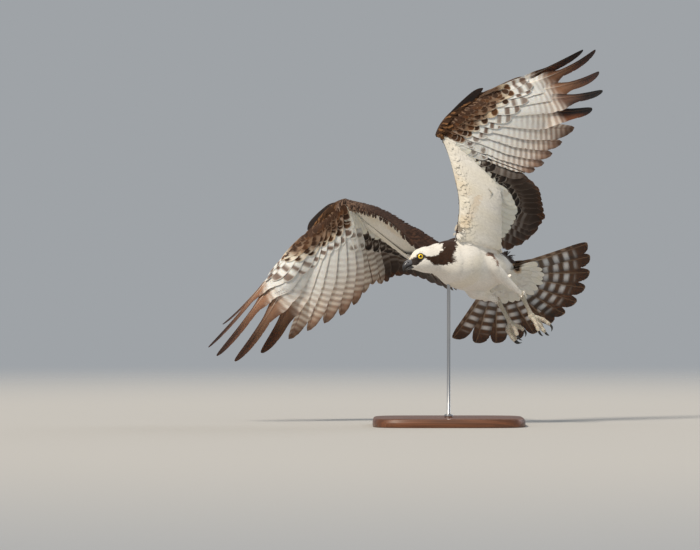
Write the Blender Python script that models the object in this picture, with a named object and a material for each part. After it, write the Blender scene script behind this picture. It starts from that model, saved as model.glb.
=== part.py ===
"""A life-size osprey in banking flight, held up by one rod on a flat display base.

Lengths are in millimetres from the centre of the torso until an object is made, and its mesh is in
metres from the middle of the base's underside. X runs to the bird's rear left, Z is up.
"""

import math

import bmesh
import bpy
import numpy as np

MM = 0.001
GAP = 0.35
TORSO_CENTRE = np.array([52.0, 48.0, 386.0])

# The body's axes: it flies forward, to the left of the scene, banked with its left wing high.
FORWARD = np.array([-0.72137, -0.67128, 0.17032])
LEFT = np.array([0.65422, -0.57984, 0.48556])
UP = np.array([-0.22719, 0.46170, 0.85745])

# The head is held more level than the body and turned a little to its left.
HEAD_CENTRE = np.array([-115.8, -88.0, 9.0])
HEAD_FORWARD = np.array([-0.8780, -0.4380, -0.1910])
HEAD_LEFT = np.array([0.4000, -0.8930, 0.2080])

WHITE = (0.80, 0.77, 0.70)
BROWN = (0.095, 0.060, 0.042)
CREAM = (0.62, 0.52, 0.40)
BILL_GREY = (0.055, 0.055, 0.062)
CLAW_BLACK = (0.012, 0.012, 0.013)
EYE_YELLOW = (0.85, 0.56, 0.02)
WOOD_DARK = (0.12, 0.060, 0.030)
STEEL = (0.42, 0.42, 0.43)

# Torso sections: forward, up of the centre, half width, half height.
TORSO_RINGS = (
    (-104, 4, 38, 35),
    (-88, 1, 45, 42),
    (-66, -4, 52, 50),
    (-40, -8, 57, 56),
    (-10, -9, 59, 59),
    (20, -8, 61, 61),
    (45, -7, 60, 60),
    (66, -8, 54, 56),
    (82, -10, 46, 50),
)

# Head sections in the head's own axes: forward, up of the centre, half width, half height.
HEAD_RINGS = (
    (-20, -6, 30, 33),
    (-8, -4, 29, 32),
    (4, -3, 27, 29),
    (14, -2, 23.5, 25),
    (22, -3, 19, 20),
    (29, -5, 14.5, 15),
    (34, -6.5, 11.5, 12),
)

EYE_PLACE = (12.0, 17.0, 4.0)
EYE_RADIUS = 9.5

# Wing joints, and the angles of key flight feathers: 0 is the outermost primary, 10 the first
# secondary and 29 the innermost tertial. Sweep turns a feather back, lift turns it up. Bow and bend
# are how far its middle stands below the line from root to tip, and in toward the body from it, as
# shares of its length. Part is how much sooner than in a half-spread wing its fingers come apart, as
# a share of their length. Thumb is how far the alula arches from the hand and reaches along it. Front
# and back are the edges of the arm from shoulder to wrist, and fold is where its front edge droops to,
# if it does.
FEATHER_KEYS = (0, 1, 2, 3, 4, 5, 6, 9, 12, 16, 20, 24, 29)
LEFT_WING = {
    "side": 1,
    "shoulder": (-27, -51, 41),
    "elbow": (46, -46, 166),
    "wrist": (-73, -66, 305),
    "hand": (22, -21, 397),
    "front": ((-38, -75, 60), (-30, -76, 140), (-50, -72, 238), (-78, -67, 312)),
    "back": ((68, -8, 34), (66, -30, 118), (52, -44, 190), (-58, -62, 300)),
    "sweep": (61.5, 65.5, 69.5, 68.8, 68.4, 71.3, 73.7, 76.9, 72.7, 74.0, 83.3, 94.7, 89.9),
    "lift": (20.6, 20.6, 14.3, 7.3, 1.0, -4.9, -9.9, -21.4, -23.7, -23.4, -19.1, -13.4, -11.8),
    "bow": (0.03, 0.08, 0.07, 0.025, -0.015, -0.03),
    "bend": (0.0, 0.025, 0.035, 0.02, 0.0, 0.0),
    "part": 0.02,
    "thumb": (7.0, 141.0),
    "fold": None,
}
RIGHT_WING = {
    "side": -1,
    "shoulder": (-68, -13, 10),
    "elbow": (-150, 98, 31),
    "wrist": (-298, 97, 145),
    "hand": (-395, 132, 58),
    "front": ((-84, -22, 46), (-142, 14, 86), (-212, 58, 128), (-300, 90, 154)),
    "back": ((-20, 68, -28), (-86, 96, 0), (-164, 112, 30), (-290, 106, 132)),
    "sweep": (-5.0, -13.0, -15.5, -15.0, -6.2, 6.0, 12.8, 39.0, 51.5, 56.7, 62.0, 66.3, 71.4),
    "lift": (-14.5, -22.7, -29.3, -36.2, -38.8, -39.9, -43.4, -45.3, -34.1, -15.6, -9.2, -8.7, -17.7),
    "bow": (0.0, 0.01, 0.02, 0.02, -0.015, -0.03),
    "bend": (0.055, 0.03, 0.025, 0.02, 0.0, 0.0),
    "part": 0.10,
    "thumb": (8.0, 98.0),
    "fold": ((-96, -40, 18), (-142, -10, 54), (-209, 36, 110), (-292, 78, 136)),
}
LENGTH_KEYS = (0, 1, 2, 3, 4, 5, 6, 9, 10, 16, 22, 26, 29)
LENGTHS = (312, 372, 382, 379, 345, 306, 286, 250, 232, 212, 200, 185, 150)
# The hand folds over the arm: a feather's height below the sheet falls from the hand inward.
FOLD_KEYS = (0, 4, 16, 29)
FOLDS = (4.0, 4.0, -4.0, -4.0)
BOW_KEYS = (0, 1, 4, 9, 14, 29)
PRIMARIES = 10
SECONDARIES = 15
LAST_PLACE = 29
HAND_SHARE = (1.0, 0.9, 0.79, 0.68, 0.58, 0.48, 0.38, 0.29, 0.2, 0.1)
SECONDARY_SHARE = 0.03
ELBOW_FEATHER = 24
SHOULDER_SHARE = 0.55
FOLD_THICK = 8.0

VANE_THICK = 0.9
SHINGLE = 0.12

# Where along its length each outer primary starts and stops narrowing to a finger, the widths of the
# finger's outer and inner webs, and where its inner edge starts to curve in to the tip.
FINGER_START = (0.50, 0.525, 0.57, 0.62, 0.70)
FINGER_END = (0.65, 0.667, 0.73, 0.785, 0.85)
FINGER_OUTER = (4.0, 4.0, 5.0, 6.0, 7.0)
FINGER_INNER = (15.0, 13.5, 16.0, 15.0, 21.0)
FINGER_ROUND = 0.72
# The outermost primary has a narrow outer web.
FIRST_OUTER_SHARE = 0.55

# Covert rows: first and last place, count, share of the flight feather's length where the row
# starts and ends, distance below the flight feathers, half width.
COVERT_ROWS = (
    (0.6, 9.0, 7, -0.03, 0.38, 6.4, 14.0),
    (11.5, 26.0, 8, -0.06, 0.42, 6.4, 15.0),
    (1.6, 8.4, 5, -0.10, 0.20, 10.4, 14.0),
    (12.0, 25.0, 6, -0.14, 0.20, 10.4, 16.0),
    (0.6, 9.0, 6, -0.03, 0.34, -5.2, 16.0),
    (11.5, 27.0, 7, -0.06, 0.38, -5.2, 17.0),
    (1.6, 8.4, 4, -0.10, 0.18, -9.0, 17.0),
    (12.0, 26.0, 5, -0.14, 0.18, -9.0, 19.0),
)
COVERT_ROOT_HEIGHT = 3.0

TAIL_ROOT = (-106.0, -10.0, 0.0)
TAIL_PITCH = math.radians(26.0)
TAIL_ROLL = math.radians(-8.0)
TAIL_SPREAD = math.radians(69.5)
TAIL_TURN = math.radians(-3.0)
TAIL_FEATHERS = 12
TAIL_LENGTH = 206.0
TAIL_OUTER_EXTRA = 12.0
TAIL_ROOT_HALF = 13.0
# The outermost pair has a narrow outer web, and both lie turned a little to the right.
TAIL_EDGE_SHARE = 0.6
TAIL_EDGE_TURN = math.radians(-2.2)

LEGS = {
    "left": {
        "hip": (50, 9, -2),
        "knee": (36, -40, 2),
        "ankle": (124, 14, -76),
        "foot": (146, 34, -122),
    },
    "right": {
        "hip": (16, 42, -30),
        "knee": (0, 0, -62),
        "ankle": (68, 44, -90),
        "foot": (97, 58, -141),
    },
}

BASE_HALF_X = 180.0
BASE_HALF_Y = 150.0
BASE_HEIGHT = 20.0
ROD_RADIUS = 4.0
CLAW_BEND = 11.5


def unit(vector):
    """The vector, one long."""
    return vector / np.linalg.norm(vector, axis=-1, keepdims=True)


HEAD_LEFT = unit(HEAD_LEFT - HEAD_FORWARD * (HEAD_LEFT @ HEAD_FORWARD) / (HEAD_FORWARD @ HEAD_FORWARD))
HEAD_FORWARD = unit(HEAD_FORWARD)
HEAD_UP = np.cross(HEAD_FORWARD, HEAD_LEFT)


def body(forward, left, up):
    """A place given along the body's axes."""
    return forward * FORWARD + left * LEFT + up * UP


def head(forward, left, up):
    """A place given along the head's axes."""
    return HEAD_CENTRE + forward * HEAD_FORWARD + left * HEAD_LEFT + up * HEAD_UP


def eased(places, keys, values):
    """Smooth values at these places, passing through the values at the keys."""
    places = np.asarray(places, float)
    keys = np.asarray(keys, float)
    values = np.asarray(values, float)
    slopes = np.gradient(values, keys)
    i = np.clip(np.searchsorted(keys, places, side="right") - 1, 0, len(keys) - 2)
    step = keys[i + 1] - keys[i]
    t = (places - keys[i]) / step
    return (
        (1 + 2 * t) * (1 - t) ** 2 * values[i]
        + t * (1 - t) ** 2 * step * slopes[i]
        + t * t * (3 - 2 * t) * values[i + 1]
        + t * t * (t - 1) * step * slopes[i + 1]
    )


def ring(centre, across, upward, half_across, half_up, count, power=2.2):
    """A rounded section: points round a superellipse."""
    angle = np.arange(count) * 2 * math.pi / count
    x = np.sign(np.cos(angle)) * np.abs(np.cos(angle)) ** (2 / power)
    y = np.sign(np.sin(angle)) * np.abs(np.sin(angle)) ** (2 / power)
    return centre + x[:, None] * half_across * across + y[:, None] * half_up * upward


def loft(rings):
    """A closed skin through sections of equal count, with a flat cap at each end."""
    count = len(rings[0])
    points = np.concatenate(rings)
    faces = []
    for i in range(len(rings) - 1):
        low = i * count
        for j in range(count):
            k = (j + 1) % count
            faces.append((low + j, low + k, low + count + k, low + count + j))
    faces.append(tuple(range(count - 1, -1, -1)))
    last = (len(rings) - 1) * count
    faces.append(tuple(range(last, last + count)))
    return points, faces


def tube(path, radii, count, flatten=1.0, across=None):
    """A closed round bar along a path. Radii are one a point, and the bar can be flattened."""
    path = np.asarray(path, float)
    run = unit(np.gradient(path, axis=0))
    across = np.array([0.0, 0.0, 1.0]) if across is None else np.asarray(across, float)
    rings = []
    for place, along, radius in zip(path, run, radii):
        side = unit(across - along * (across @ along))
        upward = np.cross(along, side)
        rings.append(ring(place, side, upward, radius, radius * flatten, count, 2.0))
    return loft(rings)


def vane(spine, trailing, below, lead_width, trail_width, thick=VANE_THICK):
    """A flat closed strip along a feather's shaft."""
    half = below * thick / 2
    leading_edge = spine - trailing * lead_width[:, None]
    trailing_edge = spine + trailing * trail_width[:, None]
    corners = [leading_edge - half, trailing_edge - half, trailing_edge + half, leading_edge + half]
    return strip(np.stack(corners, axis=1))


def strip(corners):
    """A closed skin through four-cornered sections, its two broad faces split alike."""
    faces = []
    last = len(corners) - 1
    for i in range(last):
        a = 4 * i
        b = a + 4
        faces += [(a, b, b + 1), (a, b + 1, a + 1)]
        faces += [(a + 3, b + 2, b + 3), (a + 3, a + 2, b + 2)]
        faces += [(a + 1, b + 1, b + 2), (a + 1, b + 2, a + 2)]
        faces += [(a, b + 3, b), (a, a + 3, b + 3)]
    end = 4 * last
    faces += [(0, 1, 2), (0, 2, 3), (end, end + 2, end + 1), (end, end + 3, end + 2)]
    return corners.reshape(-1, 3), faces


def mesh_object(name, points, faces, colour=None, roughness=0.8, metallic=0.0):
    """An object from points in millimetres round the torso's centre, its faces turned outward."""
    mesh = bpy.data.meshes.new(name)
    placed = (np.asarray(points) + TORSO_CENTRE) * MM
    mesh.from_pydata([tuple(p) for p in placed], [], faces)
    work = bmesh.new()
    work.from_mesh(mesh)
    bmesh.ops.recalc_face_normals(work, faces=work.faces)
    if work.calc_volume(signed=True) < 0:
        bmesh.ops.reverse_faces(work, faces=work.faces)
    work.to_mesh(mesh)
    work.free()
    obj = bpy.data.objects.new(name, mesh)
    bpy.context.scene.collection.objects.link(obj)
    if colour is not None:
        paint(obj, colour, roughness, metallic)
    return obj


def paint(obj, colour, roughness, metallic):
    """A plain material of this object's own."""
    material = bpy.data.materials.new(obj.name)
    material.use_nodes = True
    shader = material.node_tree.nodes["Principled BSDF"]
    shader.inputs["Base Color"].default_value = (*colour, 1.0)
    shader.inputs["Roughness"].default_value = roughness
    shader.inputs["Metallic"].default_value = metallic
    obj.data.materials.append(material)


def bake_in(obj):
    """The object's mesh with its modifiers applied, cut down to its largest closed surface."""
    materials = list(obj.data.materials)
    graph = bpy.context.evaluated_depsgraph_get()
    mesh = bpy.data.meshes.new_from_object(obj.evaluated_get(graph))
    obj.modifiers.clear()
    obj.data = mesh
    mesh.materials.clear()
    for material in materials:
        mesh.materials.append(material)
    keep_largest(obj)


def keep_largest(obj):
    """Removes every closed surface but the one that holds most."""
    work = bmesh.new()
    work.from_mesh(obj.data)
    work.faces.ensure_lookup_table()
    seen = set()
    shells = []
    for start in work.faces:
        if start.index in seen:
            continue
        seen.add(start.index)
        shell = [start]
        for face in shell:
            for edge in face.edges:
                for other in edge.link_faces:
                    if other.index not in seen:
                        seen.add(other.index)
                        shell.append(other)
        shells.append(shell)
    if len(shells) > 1:
        held = [abs(sum(shell_volume(face) for face in shell)) for shell in shells]
        best = held.index(max(held))
        spare = [face for i, shell in enumerate(shells) if i != best for face in shell]
        bmesh.ops.delete(work, geom=spare, context="FACES")
    work.to_mesh(obj.data)
    work.free()


def shell_volume(face):
    """Six times the volume between this face and the origin."""
    corners = [vert.co for vert in face.verts]
    return sum(
        corners[0].dot(corners[i].cross(corners[i + 1])) for i in range(1, len(corners) - 1)
    )


def join(obj, pieces):
    """Joins like pieces to the object they grow from."""
    group = bpy.data.collections.new("joining")
    bpy.context.scene.collection.children.link(group)
    for piece in pieces:
        bpy.context.scene.collection.objects.unlink(piece)
        group.objects.link(piece)
    union = obj.modifiers.new("join", "BOOLEAN")
    union.operation = "UNION"
    union.operand_type = "COLLECTION"
    union.solver = "MANIFOLD"
    union.collection = group
    bake_in(obj)
    for piece in pieces:
        bpy.data.objects.remove(piece)
    bpy.data.collections.remove(group)


def cut_round(obj, others, gap=GAP):
    """Cuts the object back from its neighbours, leaving a gap."""
    for other in others:
        cutter = grown(other, gap)
        cut(obj, cutter)


def cut(obj, cutter):
    """Takes the cutter's shape out of the object, and removes the cutter."""
    difference = obj.modifiers.new("cut", "BOOLEAN")
    difference.operation = "DIFFERENCE"
    difference.solver = "MANIFOLD"
    difference.object = cutter
    bake_in(obj)
    bpy.data.objects.remove(cutter)


def grown(obj, gap):
    """A copy of the object with each point moved out by the gap."""
    work = bmesh.new()
    work.from_mesh(obj.data)
    work.normal_update()
    for vert in work.verts:
        vert.co += vert.normal * vert.calc_shell_factor() * gap * MM
    mesh = bpy.data.meshes.new("grown")
    work.to_mesh(mesh)
    work.free()
    copy = bpy.data.objects.new("grown", mesh)
    bpy.context.scene.collection.objects.link(copy)
    return copy


def torso():
    """The trunk with its breast feathers, from the rump to the base of the neck."""
    rings = [
        ring(body(forward, 0, up), LEFT, UP, half_width, half_height, 22)
        for forward, up, half_width, half_height in TORSO_RINGS
    ]
    return mesh_object("torso", *loft(rings), WHITE, 0.85)


def neck():
    """The short neck, its sections turning from the body's axis to the head's."""
    forward, up, half_width, half_height = TORSO_RINGS[-1]
    start = body(forward + GAP, 0, up)
    back, low, head_width, head_height = HEAD_RINGS[0]
    end = head(back - GAP, 0, low)
    reach = np.linalg.norm(end - start)
    rings = []
    for t in np.linspace(0, 1, 5):
        along = unit(FORWARD * (1 - t) + HEAD_FORWARD * t)
        side = unit(LEFT * (1 - t) + HEAD_LEFT * t)
        side = unit(side - along * (side @ along))
        upward = np.cross(along, side)
        ease = t * t * (3 - 2 * t)
        place = (
            start * (1 - ease)
            + end * ease
            + (FORWARD * (1 - t) - HEAD_FORWARD * t) * reach * 0.5 * t * (1 - t)
        )
        rings.append(
            ring(
                place,
                side,
                upward,
                half_width * (1 - ease) + head_width * ease,
                half_height * (1 - ease) + head_height * ease,
                22,
            )
        )
    return mesh_object("neck", *loft(rings), WHITE, 0.85)


def head_and_eyes():
    """The skull with brows, lids, mouth line and nape locks, and its two eyes."""
    rings = [
        ring(head(forward, 0, up), HEAD_LEFT, HEAD_UP, half_width, half_height, 18, 2.15)
        for forward, up, half_width, half_height in HEAD_RINGS
    ]
    skull = mesh_object("head", *loft(rings), WHITE, 0.85)
    pieces = []
    eyes = []
    for side, name in ((1, "eye_left"), (-1, "eye_right")):
        forward, out, up = EYE_PLACE
        centre = head(forward, side * out, up)
        look = unit(HEAD_FORWARD * 0.30 + HEAD_LEFT * side + HEAD_UP * 0.02)
        tall = unit(HEAD_UP - look * (HEAD_UP @ look))
        long = np.cross(tall, look)
        pieces.append(lid_ring(centre, look, tall, long))
        pieces.append(brow(centre, look, side))
        eyes.append(ball(name, centre, EYE_RADIUS, look, tall, 14, 8, EYE_YELLOW, 0.08))
    pieces += nape_locks()
    join(skull, pieces)
    for eye in eyes:
        cut_round(skull, [eye])
    for side in (1, -1):
        cut(skull, mouth_cutter(side))
    return skull


def lid_ring(centre, look, tall, long):
    """The rim of feathers round one eye."""
    count = 10
    angle = np.arange(count) * 2 * math.pi / count
    middle = centre + look * 6.4
    loop = middle + np.cos(angle)[:, None] * 7.6 * long + np.sin(angle)[:, None] * 7.0 * tall
    return closed_loop(loop, middle, look, 2.3)


def closed_loop(loop, middle, look, radius):
    """A ring of round section along a closed path."""
    count = len(loop)
    around = 4
    points = []
    for place in loop:
        outward = unit(place - middle)
        for j in range(around):
            turn = 2 * math.pi * j / around
            points.append(place + radius * (math.cos(turn) * outward + math.sin(turn) * look))
    faces = []
    for i in range(count):
        k = (i + 1) % count
        for j in range(around):
            m = (j + 1) % around
            faces.append((i * around + j, k * around + j, k * around + m, i * around + m))
    return mesh_object("rim", points, faces)


def brow(centre, look, side):
    """The low ridge over one eye."""
    t = np.linspace(-1, 1, 5)
    path = (
        centre
        + look * 5.5
        + HEAD_FORWARD * (t * 11.0 + 1.0)[:, None]
        + HEAD_UP * (8.2 - 2.0 * t - 1.6 * t * t)[:, None]
        - HEAD_LEFT * side * (0.6 + 2.6 * np.maximum(t, 0) ** 2)[:, None]
    )
    return mesh_object("brow", *tube(path, (1.4, 2.6, 3.1, 2.6, 1.4), 5))


def ball(name, centre, radius, pole, side, count, rows, colour, roughness):
    """A round ball, its rows set round the pole."""
    other = np.cross(pole, side)
    rings = []
    for row in range(1, rows):
        turn = math.pi * row / rows
        middle = centre - pole * radius * math.cos(turn)
        rings.append(ring(middle, side, other, radius * math.sin(turn), radius * math.sin(turn), count, 2.0))
    return mesh_object(name, *loft(rings), colour, roughness)


def nape_locks():
    """Short pointed feathers standing out a little from the nape."""
    locks = []
    for i, place in enumerate(np.linspace(-1, 1, 6)):
        turn = place * 0.95
        start = head(-4.0 - 3.0 * (i % 2), 27.0 * math.sin(turn), -3.0 + 28.0 * math.cos(turn))
        outward = unit(HEAD_LEFT * math.sin(turn) + HEAD_UP * math.cos(turn))
        along = unit(-HEAD_FORWARD + outward * 0.16)
        t = np.array([0.0, 0.5, 1.0])
        spine = start - outward * 1.5 + along * (t * (21.0 + 3.0 * (i % 3)))[:, None]
        across = np.tile(unit(np.cross(outward, along)), (3, 1))
        below = np.tile(np.cross(along, across[0]), (3, 1))
        width = np.array([4.2, 5.0, 0.8])
        locks.append(mesh_object("lock", *vane(spine, across, below, width, width, 1.6)))
    return locks


def mouth_cutter(side):
    """The line of the closed mouth, from the bill back to below the eye."""
    t = np.linspace(0, 1, 4)
    path = np.array(
        [head(13.0 + 23.0 * k, side * (25.5 - 13.5 * k ** 1.4), -15.5 + 3.0 * k) for k in t]
    )
    return mesh_object("mouth", *tube(path, (0.5, 0.7, 0.8, 0.8), 5))


def bill():
    """The hooked upper bill with its cere and nostrils, and the lower bill."""
    front = HEAD_RINGS[-1][0] + GAP
    top = ((0, 5.0), (6, 4.4), (12, 1.9), (17, -2.2), (20.5, -7.0), (21.9, -12.2), (20.6, -18.6))
    under = ((0, -10.5), (6, -10.8), (11, -11.4), (14.5, -12.4), (16.6, -14.0), (18.4, -16.2), (19.9, -18.8))
    half = (10.0, 9.0, 7.6, 6.0, 4.4, 2.8, 0.7)
    rings = []
    for (ahead, high), (ahead_low, low), width in zip(top, under, half):
        a = head(front + ahead, 0, high)
        b = head(front + ahead_low, 0, low)
        middle = (a + b) / 2
        upward = unit(a - b)
        rings.append(ring(middle, HEAD_LEFT, upward, width, np.linalg.norm(a - b) / 2, 12, 2.3))
    upper = mesh_object("bill_upper", *loft(rings), BILL_GREY, 0.35)
    for side in (1, -1):
        slit = head(front + 7.6, side * 8.8, -1.8)
        lean = unit(HEAD_UP * 0.9 + HEAD_FORWARD * 0.5)
        path = slit + lean * np.linspace(-2.4, 2.4, 4)[:, None]
        cut(upper, mesh_object("nostril", *tube(path, (0.7, 1.3, 1.3, 0.7), 6)))
    low_top = -10.9 - GAP - 0.3
    rings = []
    for ahead, high, deep, width in (
        (0, 0.0, 6.0, 8.8),
        (5, -0.3, 5.6, 7.4),
        (9.5, -1.0, 4.8, 5.8),
        (13, -2.4, 3.4, 4.0),
        (15.2, -4.0, 1.6, 2.0),
    ):
        middle = head(front + ahead, 0, low_top + high - deep / 2)
        rings.append(ring(middle, HEAD_LEFT, HEAD_UP, width, deep / 2, 12, 2.3))
    lower = mesh_object("bill_lower", *loft(rings), BILL_GREY, 0.4)
    cut_round(lower, [upper])


def feather_root(wing, at):
    """Where flight feathers grow, from the end of the hand to the shoulder."""
    hand, wrist, elbow, shoulder = (
        np.asarray(wing[key], float) for key in ("hand", "wrist", "elbow", "shoulder")
    )
    at = np.asarray(at, float)[..., None]
    on_hand = np.interp(at, np.arange(PRIMARIES), HAND_SHARE)
    first = PRIMARIES
    on_arm = np.interp(at, (first, ELBOW_FEATHER), (SECONDARY_SHARE, 1.0))
    on_upper_arm = np.interp(at, (ELBOW_FEATHER, LAST_PLACE), (0.0, SHOULDER_SHARE))
    primary = wrist + (hand - wrist) * on_hand
    secondary = wrist + (elbow - wrist) * on_arm
    tertial = elbow + (shoulder - elbow) * on_upper_arm
    blend = np.clip(at - (first - 1), 0, 1)
    arm = np.where(at > ELBOW_FEATHER, tertial, secondary)
    return primary * (1 - blend) + arm * blend


def feather_run(wing, at):
    """Unit direction of the flight feathers at these places along the wing."""
    sweep = np.radians(eased(at, FEATHER_KEYS, wing["sweep"]))[..., None]
    lift = np.radians(eased(at, FEATHER_KEYS, wing["lift"]))[..., None]
    level = np.cos(sweep) * LEFT * wing["side"] - np.sin(sweep) * FORWARD
    return np.cos(lift) * level + np.sin(lift) * UP


def feather_length(at):
    """Length of the flight feathers at these places along the wing."""
    return eased(at, LENGTH_KEYS, LENGTHS)


def neighbour_step(at):
    """The places a little out and a little in from these along the wing."""
    step = 1.6
    return np.maximum(at - step, 0), np.minimum(at + step, LAST_PLACE)


def shaft_line(wing, at, reach):
    """A point of a feather's shaft as seen from below the wing, before it bows down."""
    outer, inner = neighbour_step(at)
    length = feather_length(at)
    run = feather_run(wing, at)
    half = length[..., None] / 2
    inward = feather_root(wing, inner) + feather_run(wing, inner) * half
    inward = inward - feather_root(wing, outer) - feather_run(wing, outer) * half
    inward = unit(inward - run * (inward * run).sum(-1, keepdims=True))
    share = np.clip(reach / length, 0, 1)
    bend = eased(at, BOW_KEYS, wing["bend"]) * length * 6.75 * share**2 * (1 - share)
    return feather_root(wing, at) + run * reach[..., None] + inward * bend[..., None]


def sheet_axes(wing, at, reach):
    """Feather run, direction toward the body and direction below the wing, on its sheet."""
    outer, inner = neighbour_step(at)
    run = feather_run(wing, at)
    inward = shaft_line(wing, inner, reach) - shaft_line(wing, outer, reach)
    inward = inward - run * (inward * run).sum(-1, keepdims=True)
    apart = np.linalg.norm(inward, axis=-1) / (inner - outer)
    inward = unit(inward)
    return run, inward, unit(np.cross(inward, run)) * wing["side"], apart


def sheet_point(wing, at, reach, height, frame_reach):
    """A point on the sheet of flight feathers, or at a height below it."""
    length = feather_length(at)
    share = np.clip(reach / length, 0, 1)
    bow = eased(at, BOW_KEYS, wing["bow"]) * length * 4 * share * (1 - share)
    _, _, below, _ = sheet_axes(wing, at, frame_reach)
    return shaft_line(wing, at, reach) + below * (bow + height)[..., None]


def wing_vane(wing, at, along, height, lead_width, trail_width, pitch, free=1.0):
    """One feather lying in the wing's sheet, each lapped under the next one in toward the body.

    Its webs reach a little past its neighbours, which stand a pitch apart along the wing. Past the
    share called free it lies clear of them and keeps the turn it has there.
    """
    places = np.full(len(along), float(at))
    length = feather_length(places)
    reach = along * length
    frame_reach = np.clip(along, 0.1, free) * length
    _, inward, below, apart = sheet_axes(wing, places, frame_reach)
    height = height + np.interp(at, FOLD_KEYS, FOLDS)
    spine = sheet_point(wing, places, reach, height, frame_reach)
    clear = np.where(along > free, 1e3, apart * pitch)
    lead_width = np.minimum(lead_width, 0.15 * clear + 3.0)
    trail_width = np.minimum(trail_width, 1.05 * clear + 2.0)
    edges = []
    for sign, width in ((-1, lead_width), (1, trail_width)):
        edge = spine + sign * inward * width[:, None] + sign * below * (width * SHINGLE)[:, None]
        beside = places + sign * width / apart
        within = (beside > 0) & (beside < LAST_PLACE) & (along <= free)
        if within.any():
            near = beside[within]
            root = feather_root(wing, near)
            away = ((spine[within] - root) * feather_run(wing, near)).sum(-1)
            rise = height[within] + sign * width[within] * SHINGLE
            edge[within] = sheet_point(wing, near, away, rise, np.maximum(away, 0.1 * length[within]))
        edges.append(edge)
    leading_edge, trailing_edge = edges
    half = below * VANE_THICK / 2
    corners = [leading_edge - half, trailing_edge - half, trailing_edge + half, leading_edge + half]
    return strip(np.stack(corners, axis=1))


def finger_span(wing, number):
    """Where along its length an outer primary starts and stops narrowing."""
    return FINGER_START[number] - wing["part"], FINGER_END[number] - wing["part"]


def primary_widths(wing, number, along):
    """Widths of a primary's outer and inner webs, narrowed to a finger past its notch."""
    outer = np.interp(along, (0, 0.1, 0.3, 0.6, 0.9, 1), (1.6, 5, 11, 12, 8, 1.5))
    inner = np.interp(along, (0, 0.1, 0.25, 0.55, 0.85, 0.95, 1), (1.8, 12, 30, 36, 27, 15, 2.5))
    if number < len(FINGER_START):
        start, end = finger_span(wing, number)
        share = np.interp(along, (start, end), (0.0, 1.0))
        curve = np.clip((along - FINGER_ROUND) / (1.01 - FINGER_ROUND), 0, 1)
        inner = inner * (1 - share) + FINGER_INNER[number] * np.sqrt(1 - curve**2) * share
        outer = outer * (1 - share) + FINGER_OUTER[number] * np.sqrt(1 - curve**6) * share
    if number == 0:
        outer = outer * FIRST_OUTER_SHARE
    return outer, inner


def flight_feathers(wing):
    """Primaries, secondaries and tertials as overlapping vanes."""
    pieces = []
    places = list(range(PRIMARIES)) + list(np.linspace(PRIMARIES, LAST_PLACE, SECONDARIES))
    for number, place in enumerate(places):
        free = 1.0
        if number < PRIMARIES:
            along = np.array([0.0, 0.12, 0.35, 0.62, 0.86, 0.95, 1.0])
            if number < len(FINGER_START):
                start, end = finger_span(wing, number)
                free = start
                along = np.array([0.0, 0.25, start, end, (end + 0.94) / 2, 0.94, 1.0])
            outer, inner = primary_widths(wing, number, along)
        else:
            along = np.array([0.0, 0.15, 0.5, 0.9, 1.0])
            outer = np.interp(along, (0, 0.15, 0.5, 0.9, 1), (2, 8, 13, 11, 3))
            inner = np.interp(along, (0, 0.15, 0.5, 0.9, 1), (2, 16, 28, 24, 8))
        height = np.zeros(len(along))
        pitch = 1.0 if number < PRIMARIES else (LAST_PLACE - PRIMARIES) / (SECONDARIES - 1)
        points, faces = wing_vane(wing, place, along, height, outer, inner, pitch, free)
        pieces.append(mesh_object("feather", points, faces))
    return pieces


def coverts(wing):
    """Rows of coverts below and above the roots of the flight feathers."""
    pieces = []
    t = np.array([0.0, 0.55, 1.0])
    for first, last, count, start, end, height, half in COVERT_ROWS:
        for at in np.linspace(first, last, count):
            along = start + (end - start) * t
            sunk = math.copysign(COVERT_ROOT_HEIGHT, height)
            rise = np.interp(t, (0.0, 0.4), (sunk, height))
            width = half * np.array([0.55, 1.0, 0.5])
            pitch = (last - first) / (count - 1)
            points, faces = wing_vane(wing, at, along, rise, width, width, pitch)
            pieces.append(mesh_object("covert", points, faces))
    return pieces


def wing_flesh(wing):
    """The arm with its leading skin, and the hand, under their small feathers."""
    hand, wrist, shoulder = (np.asarray(wing[key], float) for key in ("hand", "wrist", "shoulder"))
    front = np.asarray(wing["front"], float)
    back = np.asarray(wing["back"], float)
    out = unit(wrist - shoulder)
    stations = np.array([-0.3, -0.12, 0.04, 0.2, 0.4, 0.58, 0.74, 0.88, 1.0])
    keys = np.array([0.0, 0.33, 0.66, 1.0])
    rings = []
    for share, thick in zip(stations, (14, 17, 16, 14, 12, 11, 10, 9, 6)):
        within = max(share, 0.0)
        lead = np.array([eased(within, keys, front[:, i]) for i in range(3)])
        trail = np.array([eased(within, keys, back[:, i]) for i in range(3)])
        if share < 0:
            sink = -share / 0.3
            lead = lead * (1 - sink) + body(58, wing["side"] * 22, 10) * sink
            trail = trail * (1 - sink) + body(-28, wing["side"] * 24, 0) * sink
        chord = lead - trail
        wide = np.linalg.norm(chord) / 2
        chord = unit(chord)
        rings.append(ring((lead + trail) / 2, chord, unit(np.cross(chord, out)), wide, thick, 12, 2.0))
    flesh = mesh_object("flesh", *loft(rings))
    if wing["fold"]:
        flesh = [flesh, arm_fold(wing, front, out)]
    else:
        flesh = [flesh]
    run = unit(hand - wrist)
    ahead = unit(feather_run(wing, 4.0) - run * (feather_run(wing, 4.0) @ run))
    rings = []
    for share, wide, thick in (
        (-0.08, 6, 6),
        (0.0, 10, 9),
        (0.3, 17, 9),
        (0.65, 13, 7.5),
        (0.9, 8, 5),
        (1.03, 4, 3),
    ):
        middle = wrist + run * np.linalg.norm(hand - wrist) * share - ahead * (wide * 0.35)
        rings.append(ring(middle, ahead, np.cross(run, ahead), wide, thick, 10, 2.0))
    return flesh + [mesh_object("palm", *loft(rings))]


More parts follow.
